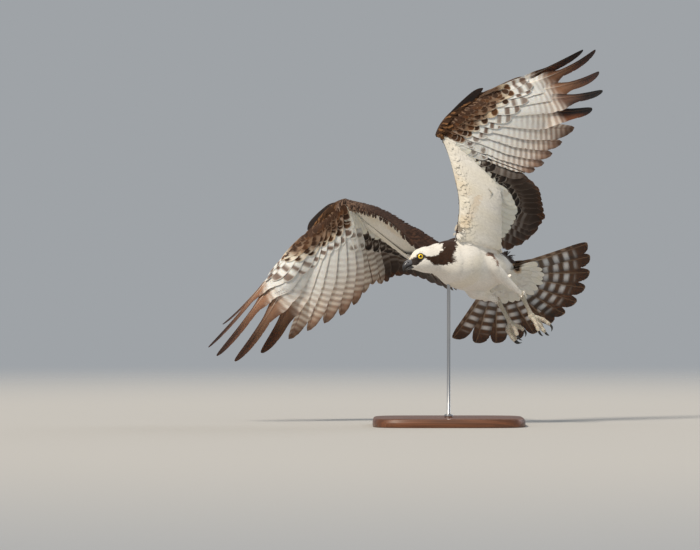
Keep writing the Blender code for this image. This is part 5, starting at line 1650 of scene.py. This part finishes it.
def eye(name, side, material, replaced):
    """One eyeball as a ball whose rows lie round the line of sight: pupil, iris and dark rim."""
    centre, look, tall, long = eye_frame(side)
    turn = np.radians(np.concatenate([np.linspace(1.5, 60, 44), np.linspace(64, 178.5, 22)]))
    around = np.arange(64) * 2 * math.pi / 64
    ring = np.cos(around)[:, None] * long + np.sin(around)[:, None] * tall
    rows = centre + EYE_RADIUS * (np.cos(turn)[:, None, None] * look + np.sin(turn)[:, None, None] * ring)
    off = (EYE_RADIUS * np.sin(turn))[:, None] * np.ones(64)
    off = np.where(turn[:, None] > math.pi / 2, EYE_RADIUS, off)
    streak = 0.5 + 0.5 * np.sin(around * 23 + 2 * np.sin(around * 5))
    settings = bpy.context.scene.osprey_face
    iris = mixed(linear(tuple(settings.iris)), "D99A06", 0.2 * streak * np.ones_like(off))
    iris = mixed(iris, "8A5205", 0.35 * soft_step(off, 5.2, 6.0))
    pupil = settings.pupil_radius / MM
    tone = mixed(iris, "050404", soft_step(off, pupil + 0.25, pupil - 0.25))
    tone = mixed(tone, "0B0807", soft_step(off, 5.9, 6.3))
    up = turn[:, None] / math.pi * 0.9 + 0.05
    make_form(name, rows, material, "eye", tone, around / 7 + 0.03, up, replaced)


def lids(material):
    """The bare dark rims round both eyes, each a ring of round section with fine folds."""
    parts = []
    for side in (1, -1):
        centre, look, tall, long = eye_frame(side)
        count, around = 72, 14
        angle = np.arange(count) * 2 * math.pi / count
        outward = np.cos(angle)[:, None] * long + np.sin(angle)[:, None] * tall
        fold = 1 + 0.05 * np.sin(angle * 17)
        line = np.cos(angle)[:, None] * 7.3 * long + np.sin(angle)[:, None] * 6.8 * tall
        line = centre + look * 6.3 + line
        turn = np.arange(around) * 2 * math.pi / around
        section = np.cos(turn)[:, None] * outward[:, None] + np.sin(turn)[:, None] * look
        points = line[:, None] + section * (1.45 * fold)[:, None, None]
        faces = grid_faces(count + 1, around, True)[:, ::side] % (count * around)
        tone = np.tile(linear("1B1817"), (count * around, 1))
        bake = texture_places(angle[:, None] / 13 + (side > 0) * 0.5, turn / 7)
        parts.append((points, faces, tone, np.zeros(count * around), bake))
    join_parts("eyelids", parts, material, "bill")


# The bill from its root at the head's front: places ahead and up along its top and under edges.
BILL_FRONT = HEAD_RINGS[-1][0]
BILL_TOP = ((0, 5.0), (6, 4.4), (12, 1.9), (17, -2.2), (20.5, -7.0), (21.9, -12.2), (20.6, -18.6))
BILL_UNDER = (
    (0, -10.5), (6, -10.8), (11, -11.4), (14.5, -12.4), (16.6, -14.0), (18.4, -16.2), (19.9, -18.8)
)
BILL_HALF = (10.0, 9.0, 7.6, 6.0, 4.4, 2.8, 0.7)
# The lower bill's sections: place, rise, depth and half width.
LOWER_BILL = (
    (0, 0.0, 6.0, 8.8), (5, -0.3, 5.6, 7.4), (9.5, -1.0, 4.8, 5.8), (13, -2.4, 3.4, 4.0),
    (15.2, -4.0, 1.6, 2.0),
)
LOWER_BILL_TOP = -11.5


def bill_surface(middle, upward, wide, high, count=48):
    """Sections across the bill, in the head's axes."""
    across = np.tile(HEAD_LEFT, (len(middle), 1))
    return sections(middle, across, upward, wide, high, count, 2.25)


def bill(material):
    """The hooked upper bill with its cere, nostrils and cutting edge, and the lower bill."""
    rows = 64
    keys = np.linspace(0, 1, len(BILL_TOP))
    t = np.linspace(0, 1, rows)
    top = np.stack([eased(t, keys, np.array(BILL_TOP)[:, i]) for i in (0, 1)], axis=-1)
    under = np.stack([eased(t, keys, np.array(BILL_UNDER)[:, i]) for i in (0, 1)], axis=-1)
    wide = eased(t, keys, BILL_HALF)
    back = np.clip(1 - t * 9, 0, 1)
    a = np.stack([head(BILL_FRONT + x - 3.0 * k, 0, z) for (x, z), k in zip(top, back)])
    b = np.stack([head(BILL_FRONT + x - 3.0 * k, 0, z) for (x, z), k in zip(under, back)])
    points = bill_surface((a + b) / 2, unit(a - b), wide, np.linalg.norm(a - b, axis=1) / 2)
    cere = soft_step(t, 0.36, 0.33)
    bulge = 0.45 * cere * soft_step(t, 0.02, 0.12)
    centre = ((a + b) / 2)[:, None]
    points = points + unit(points - centre) * bulge[:, None, None]
    ahead, across, high = (axis.reshape(rows, -1) for axis in head_place(points.reshape(-1, 3)))
    forward = ahead - BILL_FRONT
    slit = ((forward - 7.6 - 0.45 * (high + 1.8)) / 1.5) ** 2 + ((high + 1.8) / 3.0) ** 2
    nostril = soft_step(slit, 1.3, 0.5) * (np.abs(across) > 3)
    points = points - np.sign(across)[..., None] * HEAD_LEFT * (1.5 * nostril)[..., None]
    tone = mixed("3A3A3E", "17161A", soft_step(t, 0.45, 0.85)[:, None] * np.ones_like(forward))
    tone = mixed(tone, "6E7076", 0.75 * cere[:, None] * soft_step(high, -9, -5) * np.ones_like(forward))
    tone = mixed(tone, "8D8E90", 0.35 * cere[:, None] * soft_step(high, 0, 5))
    tone = mixed(tone, "0A0909", nostril)
    turn = np.linspace(0.02, 0.98, 48)
    up = 0.5 + 0.48 * t[:, None]
    make_form("bill_upper_form", points, material, "bill", tone, turn, up, ("bill_upper",))
    keys = np.array([ring[0] for ring in LOWER_BILL], float)
    ahead = np.linspace(0, keys[-1], 30)
    rise, deep, wide = (eased(ahead, keys, [ring[i] for ring in LOWER_BILL]) for i in (1, 2, 3))
    back = np.clip(1 - ahead / 3, 0, 1)
    low = LOWER_BILL_TOP + rise - deep / 2
    middle = np.stack([head(BILL_FRONT + x - 3.0 * k, 0, z) for x, z, k in zip(ahead, low, back)])
    points = bill_surface(middle, np.tile(HEAD_UP, (30, 1)), wide, deep / 2)
    tone = mixed("2C2B2F", "151417", soft_step(ahead, 5, 12)[:, None] * np.ones(48))
    up = 0.03 + 0.03 * ahead[:, None]
    make_form("bill_lower_form", points, material, "bill", tone, turn, up, ("bill_lower",))


def toe_path(middle, joint, tip, rows):
    """A toe's centre line through its joint to its tip."""
    t = np.linspace(0, 1, rows)
    return t, middle + eased_points(t, (0, 0.5, 1), (np.zeros(3), joint, tip))


def leg_lines(side_name):
    """Points of the bare leg: the ankle, the foot and the direction between them."""
    leg = LEGS[side_name]
    return leg["ankle"], leg["foot"], unit(leg["foot"] - leg["ankle"])


def bare_leg(side_name, material):
    """The scaly lower leg and the foot with four toes: pads under each joint, scutes over each toe."""
    ankle, foot, run = leg_lines(side_name)
    length = np.linalg.norm(foot - ankle)
    share = np.linspace(-0.12, 1.06, 40)
    radii = eased(share, (-0.12, 0.0, 0.12, 0.4, 0.75, 1.06), (6.0, 6.3, 6.2, 4.9, 5.0, 6.0))
    lower, lower_faces = closed_surface(limb(ankle + run * (share * length)[:, None], radii, 32))
    palm_path = foot + run * np.linspace(-1, 13, 16)[:, None]
    palm_radii = eased(np.linspace(-1, 13, 16), (-1, 4, 9, 13), (6.2, 8.0, 8.2, 5.0))
    surfaces = [(lower, lower_faces), closed_surface(limb(palm_path, palm_radii, 28))]
    for _, joint, tip, _ in TOES[side_name]:
        t, path = toe_path(foot + run * 7.0, joint, tip, 46)
        radii = eased(t, (0, 0.25, 0.45, 0.53, 0.75, 0.83, 1.0), (5.8, 5.4, 4.6, 5.3, 4.3, 5.0, 3.2))
        surfaces.append(closed_surface(limb(path, radii, 24)))
    points, quads, normals = fused(surfaces, 0.8, 4)
    knobs = wobble(points, 1.1, 51) * 0.22
    knobs = knobs + scute_ridges(points, side_name)
    points = points + normals * knobs[:, None]
    grain = 0.5 + 0.5 * wobble(points, 2.6, 52)
    tone = mixed("E4DDCD", "C2B39B", 0.5 * grain)
    away = (points - foot) @ run
    tone = mixed(tone, "A9A596", 0.4 * soft_step(away, 5, -30))
    tone = mixed(tone, "C98F6A", 0.12 * soft_step(wobble(points, 7.0, 53), 0.2, 0.9))
    tone = mixed(tone, "6E5A48", 0.55 * soft_step(-knobs, 0.10, 0.34))
    bake = round_axis(points, ankle, run, unit(np.cross(run, LEFT)), -10, length + 50)
    nodes = (f"tarsus_{side_name}", f"foot_{side_name}")
    make_piece(f"bare_leg_{side_name}", points, quads, material, "leg_scales", tone, None, bake, nodes)


def scute_ridges(points, side_name):
    """Bands across the toes and the front of the leg: a raised cosine of the distance along each."""
    ankle, foot, run = leg_lines(side_name)
    best = np.full(len(points), 9.0)
    ridge = 0.16 * np.cos((points - ankle) @ run * 2 * math.pi / 4.2)
    for _, joint, tip, _ in TOES[side_name]:
        _, path = toe_path(foot + run * 7.0, joint, tip, 60)
        travelled = np.concatenate([[0], np.cumsum(np.linalg.norm(np.diff(path, axis=0), axis=1))])
        distance = np.linalg.norm(points[:, None] - path[None], axis=2)
        nearest = distance.argmin(axis=1)
        closest = distance.min(axis=1)
        ridge = np.where(closest < best, 0.30 * np.cos(travelled[nearest] * 2 * math.pi / 3.6), ridge)
        best = np.minimum(best, closest)
    return ridge


def claw(name, start, run, toward, material, replaced):
    """A long round claw, an arc that thins to a point."""
    inward = unit(toward - run * (toward @ run))
    rows = 26
    turn = np.linspace(-0.16, 1.55, rows)
    path = start + CLAW_BEND * (run * np.sin(turn)[:, None] + inward * (1 - np.cos(turn))[:, None])
    radii = eased(np.clip(turn, 0, 1.55), (0, 0.39, 0.78, 1.16, 1.55), (2.8, 2.9, 2.3, 1.4, 0.3))
    tone = mixed("16130F", "0C0B0B", soft_step(turn, 0.2, 0.9)[:, None] * np.ones(20))
    along = (turn[:, None] + 0.2) / 1.8
    points = limb(path, radii, 20, inward)
    make_form(name, points, material, "claw", tone, np.linspace(0.03, 0.97, 20), along, replaced)


def claws(material):
    """The eight claws, each on the end of its toe."""
    for side_name in ("left", "right"):
        _, foot, run = leg_lines(side_name)
        for toe, joint, tip, toward in TOES[side_name]:
            _, path = toe_path(foot + run * 7.0, joint, tip, 46)
            tip_run = unit(path[-1] - path[-8])
            name = f"{side_name}_{toe}"
            claw(f"talon_{name}", path[-1], tip_run, np.array(toward), material, (f"claw_{name}",))


def stand(wood, steel):
    """The wooden base with a moulded edge, and the steel rod with its collar."""
    low = np.array([-TORSO_CENTRE[0], -TORSO_CENTRE[1], FLOOR])
    arc = np.linspace(0, math.pi / 2, 10)
    edge = BASE_EDGE
    shoulder = BASE_HEIGHT - edge
    height = np.concatenate([[0.0, 1.2, shoulder - 2.0], shoulder + edge * np.sin(arc)])
    inset = np.concatenate([[1.2, 0.0, 0.0], 1.5 + edge * (1 - np.cos(arc))])
    middle = low + np.array([0.0, 0.0, 1.0]) * height[:, None]
    rows = len(height)
    x, y = (np.tile(axis, (rows, 1)) for axis in ((1.0, 0, 0), (0, 1.0, 0)))
    points = sections(middle, x, y, BASE_HALF_X - inset, BASE_HALF_Y - inset, 160, 5.0)
    up = np.linspace(0.05, 0.95, rows)[:, None]
    around = np.linspace(0.02, 0.98, 160)
    make_form("stand_plinth", points, wood, "stand_wood", None, around, up, ("stand_base",))
    height = np.array([0, 0.6, 6.0, 6.9, 7.3, 7.5, 8.4, 9.0, 200, 0])
    height[-1] = -FLOOR - BASE_HEIGHT - 30
    radii = np.array([9.4, 10, 10, 9.6, 8.8, 7.0, 4.6, 4.0, 4.0, 4.0])
    path = low + np.array([0.0, 0.0, 1.0]) * (BASE_HEIGHT + height)[:, None]
    points = limb(path, radii, 48, np.array([1.0, 0, 0]))
    up = np.linspace(0.05, 0.95, len(path))[:, None]
    around = np.linspace(0.02, 0.98, 48)
    make_form("stand_pillar", points, steel, "stand_steel", None, around, up, ("stand_rod",))


def down_material():
    """Contour feathers: loose keratin barbs that part at the edges, matt and a little see-through."""
    pitch = bpy.context.scene.osprey_sizes.body_barbs / MM
    return feather_material("contour_feathers", pitch, 0.12, 0.85, 0.06, 0.0)


def skin_material():
    """Skin with down on it: matt, in the colours of the coat above, so no gap shows between feathers."""
    material, tree, shader = new_material("downy_skin", 0.9)
    toned(tree, shader, object_noise(tree, 700.0, 3.0), 0.80, 1.0, 0.4, 0.4)
    return material


def horn_material(name, roughness, coat_weight, scale):
    """Horn sheath of bill or claw: dense keratin grown in layers, smooth with faint growth lines."""
    sockets = {"Coat_Weight": coat_weight, "Coat_Roughness": 0.18, "IOR": 1.54}
    material, tree, shader = new_material(name, roughness, **sockets)
    toned(tree, shader, object_noise(tree, scale, 5.0), 0.7, 1.35, 0.25, 0.2)
    return material


def scale_material():
    """Scaly leg skin: small hard reticulate scales over a soft hide, so it is pebbled and half matt."""
    soft = {"Subsurface_Weight": 0.06, "Subsurface_Scale": 0.002}
    material, tree, shader = new_material("reticulate_scales", 0.55, **soft)
    # Real scales here are 1 to 2 mm wide; the cells are drawn at 1.7 mm.
    place = add_node(tree, "ShaderNodeTexCoord").outputs["Object"]
    edges = {"feature": "DISTANCE_TO_EDGE"}
    cells = add_node(tree, "ShaderNodeTexVoronoi", edges, Vector=place, Scale=600.0)
    rim = add_node(tree, "ShaderNodeMapRange", Value=cells.outputs["Distance"], From_Max=0.22)
    toned(tree, shader, rim.outputs[0], 0.62, 1.05, 0.8, 0.35)
    return material


def eye_material():
    """Wet cornea over a fibrous iris: as smooth as glass, with the colours set deep under the shine."""
    sockets = {"Coat_Weight": 1.0, "Coat_Roughness": 0.02, "Coat_IOR": 1.38}
    material, tree, shader = new_material("wet_cornea", 0.12, **sockets)
    tree.links.new(mesh_tone(tree), shader.inputs["Base Color"])
    return material


def lid_material():
    """Bare eyelid skin: thin folded hide, dark and slightly damp."""
    material, tree, shader = new_material("eyelid_hide", 0.5)
    toned(tree, shader, object_noise(tree, 1400.0, 3.0), 0.7, 1.3, 0.5, 0.2)
    return material


def wood_material(base):
    """Oiled walnut, planed and rubbed: brown grain in long streaks with fine open pores."""
    material, tree, shader = new_material("oiled_walnut", 0.42, Coat_Weight=0.15, Coat_Roughness=0.35)
    place = add_node(tree, "ShaderNodeTexCoord").outputs["Object"]
    turned = {"Scale": (2.2, 26.0, 26.0), "Rotation": (0.0, 0.05, 0.03)}
    long = add_node(tree, "ShaderNodeMapping", Vector=place, **turned).outputs[0]
    warp = add_node(tree, "ShaderNodeTexNoise", Vector=long, Scale=0.9, Detail=3.0, Distortion=0.6).outputs[0]
    wave = worked_out(tree, "SINE", worked_out(tree, "MULTIPLY", warp, 34.0))
    streak = worked_out(tree, "MULTIPLY_ADD", wave, 0.22, 0.5)
    pores = object_noise(tree, 1.0, 2.0, (12.0, 420.0, 420.0))
    grain = add_node(tree, "ShaderNodeValToRGB", Fac=worked_out(tree, "MULTIPLY", streak, pores))
    for element, position, share in zip(grain.color_ramp.elements, (0.08, 0.48), (0.45, 1.0)):
        element.position = position
        element.color = (*linear(base) * share, 1.0)
    tree.links.new(grain.outputs[0], shader.inputs["Base Color"])
    raised(tree, shader, pores, 0.25, 0.15)
    return material


def steel_material():
    """Brushed stainless steel: fine scratches round the rod, which spread its highlight."""
    grey = (*linear("B9BABC"), 1.0)
    material, tree, shader = new_material("brushed_steel", 0.32, Metallic=1.0, Base_Color=grey)
    scratches = object_noise(tree, 1.0, 2.0, (60.0, 60.0, 2600.0))
    rough = add_node(tree, "ShaderNodeMapRange", Value=scratches, To_Min=0.24, To_Max=0.42)
    tree.links.new(rough.outputs[0], shader.inputs["Roughness"])
    raised(tree, shader, scratches, 0.15, 0.05)
    return material


def studio_light(name, toward, strength, angle, colour):
    """A far soft light, as wide in the sky as its angle, that shines from the side it is toward."""
    data = bpy.data.lights.new(name, "SUN")
    data.energy = strength
    data.angle = math.radians(angle)
    data.color = linear(colour)
    light = bpy.data.objects.new(name, data)
    light.location = toward
    light.rotation_euler = Vector(toward).to_track_quat("Z", "Y").to_euler()
    bpy.context.scene.collection.objects.link(light)


# The sides that the two lights shine from, and the strength of the room's own light.
KEY_TOWARD = (-0.45, -0.6, 0.85)
BACK_TOWARD = (0.7, 0.6, 0.5)
ROOM_STRENGTH = 0.6
# In metres: how far from its middle the floor starts and ends to fade, its half size and the camera's place.
FLOOR_FADE = (1.6, 7.0)
FLOOR_HALF = 9.0
CAMERA_PLACE = (-0.2337, -9.952, 0.3574)
FARTHEST_SEEN = 60.0
# The camera's sensor and focal length, in millimetres.
SENSOR_WIDTH = 36.0
LENS = 216.0


def stage(floor_colour, key, fill):
    """A pale floor that fades into a pale room, soft lights and the camera."""
    material, tree, shader = new_material("pale_studio_floor", 0.9)
    shader.inputs["Base Color"].default_value = (*linear(floor_colour), 1.0)
    place = add_node(tree, "ShaderNodeTexCoord")
    away = add_node(tree, "ShaderNodeVectorMath", {"operation": "LENGTH"}, _0=place.outputs["Object"])
    smooth = {"interpolation_type": "SMOOTHSTEP"}
    limits = {"From_Min": FLOOR_FADE[0], "From_Max": FLOOR_FADE[1], "To_Min": 1.0, "To_Max": 0.0}
    fade = add_node(tree, "ShaderNodeMapRange", smooth, Value=away.outputs["Value"], **limits)
    tree.links.new(fade.outputs[0], shader.inputs["Alpha"])
    corners = np.array([(-1, -1, 0), (1, -1, 0), (1, 1, 0), (-1, 1, 0)]) * FLOOR_HALF
    mesh = bpy.data.meshes.new("studio_floor")
    mesh.from_pydata(corners.tolist(), [], [(0, 1, 2, 3)])
    mesh.materials.append(material)
    floor = bpy.data.objects.new("studio_floor", mesh)
    bpy.context.scene.collection.objects.link(floor)
    world = bpy.data.worlds.new("studio_room")
    world.use_nodes = True
    room = world.node_tree.nodes["Background"]
    room.inputs["Color"].default_value = (*linear("C8CDD2"), 1.0)
    room.inputs["Strength"].default_value = ROOM_STRENGTH
    bpy.context.scene.world = world
    bpy.context.scene.view_settings.view_transform = "Standard"
    studio_light("key_light", KEY_TOWARD, key, 12.0, "FFF4E4")
    studio_light("back_light", BACK_TOWARD, fill, 30.0, "F2F6FF")
    data = bpy.data.cameras.new("camera")
    data.sensor_width = SENSOR_WIDTH
    data.lens = LENS
    data.clip_end = FARTHEST_SEEN
    camera = bpy.data.objects.new("camera", data)
    camera.location = CAMERA_PLACE
    camera.rotation_euler = (math.pi / 2, 0.0, 0.0)
    bpy.context.scene.collection.objects.link(camera)
    bpy.context.scene.camera = camera


def colour_property(name, description, code):
    """A colour that a user may change, with its default as an sRGB hex code."""
    limits = {"subtype": "COLOR", "size": 3, "min": 0.0, "max": 1.0}
    default = tuple(hex_colour(code))
    return bpy.props.FloatVectorProperty(name=name, description=description, default=default, **limits)


class PlumageColours(bpy.types.PropertyGroup):
    """Colours of the plumage, used by every piece that has feathers."""

    white: colour_property("White", "Breast, crown and wing lining", "F4F0E8")
    cream: colour_property("Cream", "Warm patches of the white plumage", "ECE2C8")
    grey_white: colour_property("Grey white", "Shaded parts of the white plumage", "D9D3C6")
    buff: colour_property("Buff", "Fringes of the coverts under the hand", "D6B283")
    chocolate: colour_property("Chocolate", "Eye stripe and spotted coverts", "3B2414")
    mantle: colour_property("Mantle", "Back and upper side of the wings", "3B2820")
    black_brown: colour_property("Black brown", "Tips of the fingers and of the dark coverts", "1D1613")
    bar: colour_property("Bars", "Bars across the inner primaries", "9A8478")
    secondary: colour_property("Secondaries", "Under side of the secondaries", "4E3D32")
    tail_dark: colour_property("Tail, dark", "Dark bands of the tail", "41362F")
    # The tail's windows are white; this grey-blue is painted shade and painted sky light through them.
    tail_pale: colour_property("Tail, pale", "Pale windows of the tail", "C9CCD0")


def length_property(name, description, default, least, most):
    """A length that a user may change, in metres, from its values in millimetres."""
    limits = {"min": least * MM, "max": most * MM, "precision": 4, "unit": "LENGTH"}
    return bpy.props.FloatProperty(name=name, description=description, default=default * MM, **limits)


def factor_property(name, description, least, most):
    """A factor that a user may change."""
    limits = {"min": least, "max": most, "subtype": "FACTOR"}
    return bpy.props.FloatProperty(name=name, description=description, default=1.0, **limits)


class PlumageSizes(bpy.types.PropertyGroup):
    """Sizes of the small feathers and of the barbs."""

    tuft_size: factor_property("Body feather size", "Length and width of the body feathers", 0.5, 1.5)
    tuft_spacing: factor_property("Body feather spacing", "Distance between body feathers", 0.8, 3.0)
    flight_barbs: length_property("Flight barb lines", "Spacing of the lines on large feathers", 2.6, 0.5, 6)
    body_barbs: length_property("Body barb lines", "Spacing of the lines on body feathers", 1.3, 0.5, 6)


class FaceSettings(bpy.types.PropertyGroup):
    """The eyes."""

    iris: colour_property("Iris", "The yellow of the eye", "FFD800")
    pupil_radius: length_property("Pupil radius", "Radius of the pupil", 3.1, 1.0, 4.5)


class StudioSettings(bpy.types.PropertyGroup):
    """The stand's wood, the floor and the lights."""

    wood: colour_property("Wood", "Oiled wood of the base", "7A4A2C")
    floor: colour_property("Floor", "Studio floor", "BDBBB7")
    key: bpy.props.FloatProperty(
        name="Key light", description="Watts a square metre from the front and left", default=3.0, min=0.0
    )
    fill: bpy.props.FloatProperty(
        name="Back light", description="Watts a square metre from behind and right", default=0.5, min=0.0
    )


def flight_material():
    """The one material of the large feathers, made the first time that it is asked for."""
    name = "flight_feathers"
    pitch = bpy.context.scene.osprey_sizes.flight_barbs / MM
    return bpy.data.materials.get(name) or feather_material(name, pitch, 0.25, 0.7, 0.03, 0.35)


class BuildSkin(bpy.types.Operator):
    """Build the skin under the coat"""

    bl_idname = "osprey.skin"
    bl_label = "Skin"

    def execute(self, context):
        points, quads = skin_surface()
        bake = round_axis(points, np.zeros(3), FORWARD, -UP, -260, 260)
        normals = quad_normals(points, quads)
        tone = coat_tones(points, normals, np.random.default_rng(40))
        nodes = ("torso", "neck", "head", "thigh_left", "thigh_right")
        make_piece("skin", points, quads, skin_material(), "white_plumage", tone, None, bake, nodes)
        return {"FINISHED"}


class BuildCoat(bpy.types.Operator):
    """Cover the skin with small body feathers"""

    bl_idname = "osprey.coat"
    bl_label = "Body feathers"

    def execute(self, context):
        skin = bpy.data.objects.get("skin")
        if skin is None:
            raise RuntimeError("the skin is made before the coat")
        points = np.empty(len(skin.data.vertices) * 3, np.float32)
        skin.data.vertices.foreach_get("co", points)
        quads = np.empty(len(skin.data.loops), np.int32)
        skin.data.loops.foreach_get("vertex_index", quads)
        points = points.reshape(-1, 3).astype(float) / MM - TORSO_CENTRE
        coat(points, quads.reshape(-1, 4), down_material())
        return {"FINISHED"}


class BuildWings(bpy.types.Operator):
    """Build the flight feathers, coverts and thumb feathers of both wings"""

    bl_idname = "osprey.wings"
    bl_label = "Wings"

    def execute(self, context):
        material = flight_material()
        for name, wing in (("left", LEFT_WING), ("right", RIGHT_WING)):
            flight_feathers(wing, name, material, (f"wing_{name}",))
            coverts(wing, name, material)
            alula(wing, name, material)
        return {"FINISHED"}


class BuildTail(bpy.types.Operator):
    """Build the tail feathers and their coverts"""

    bl_idname = "osprey.tail"
    bl_label = "Tail"

    def execute(self, context):
        material = flight_material()
        rng = np.random.default_rng(31)
        tail_feathers(material, rng)
        tail_coverts(material, rng)
        return {"FINISHED"}


class BuildFace(bpy.types.Operator):
    """Build the eyes, their lids and the bill"""

    bl_idname = "osprey.face"
    bl_label = "Eyes and bill"

    def execute(self, context):
        material = eye_material()
        eye("eyeball_left", 1, material, ("eye_left",))
        eye("eyeball_right", -1, material, ("eye_right",))
        lids(lid_material())
        bill(horn_material("bill_horn", 0.38, 0.25, 420.0))
        return {"FINISHED"}


class BuildFeet(bpy.types.Operator):
    """Build the bare legs, the feet and the claws"""

    bl_idname = "osprey.feet"
    bl_label = "Feet and claws"

    def execute(self, context):
        material = scale_material()
        bare_leg("left", material)
        bare_leg("right", material)
        claws(horn_material("claw_horn", 0.24, 0.5, 300.0))
        return {"FINISHED"}


class BuildStand(bpy.types.Operator):
    """Build the display stand"""

    bl_idname = "osprey.stand"
    bl_label = "Stand"

    def execute(self, context):
        stand(wood_material(tuple(context.scene.osprey_studio.wood)), steel_material())
        return {"FINISHED"}


class BuildStage(bpy.types.Operator):
    """Set the floor, the lights and the camera"""

    bl_idname = "osprey.stage"
    bl_label = "Stage"

    def execute(self, context):
        studio = context.scene.osprey_studio
        stage(tuple(studio.floor), studio.key, studio.fill)
        return {"FINISHED"}


BUILDERS = (BuildSkin, BuildCoat, BuildWings, BuildTail, BuildFace, BuildFeet, BuildStand, BuildStage)
SETTINGS = {
    "osprey_colours": PlumageColours,
    "osprey_sizes": PlumageSizes,
    "osprey_face": FaceSettings,
    "osprey_studio": StudioSettings,
}


class OspreyPanel(bpy.types.Panel):
    """Lists the settings and the steps in the order they are run"""

    bl_idname = "VIEW3D_PT_osprey"
    bl_label = "Osprey"
    bl_space_type = "VIEW_3D"
    bl_region_type = "UI"
    bl_category = "Osprey"

    def draw(self, context):
        for name, group in SETTINGS.items():
            box = self.layout.box()
            for key in group.__annotations__:
                box.prop(getattr(context.scene, name), key)
        for builder in BUILDERS:
            self.layout.operator(builder.bl_idname)


def register():
    """Adds the settings, the operators and the panel to Blender."""
    for made in (*SETTINGS.values(), *BUILDERS, OspreyPanel):
        bpy.utils.register_class(made)
    for name, group in SETTINGS.items():
        setattr(bpy.types.Scene, name, bpy.props.PointerProperty(type=group))


def unregister():
    """Takes them out again."""
    for name in SETTINGS:
        delattr(bpy.types.Scene, name)
    for made in (OspreyPanel, *reversed(BUILDERS), *SETTINGS.values()):
        bpy.utils.unregister_class(made)


def main():
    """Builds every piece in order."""
    register()
    for builder in BUILDERS:
        group, name = builder.bl_idname.split(".")
        getattr(getattr(bpy.ops, group), name)()


if __name__ == "__main__":
    main()
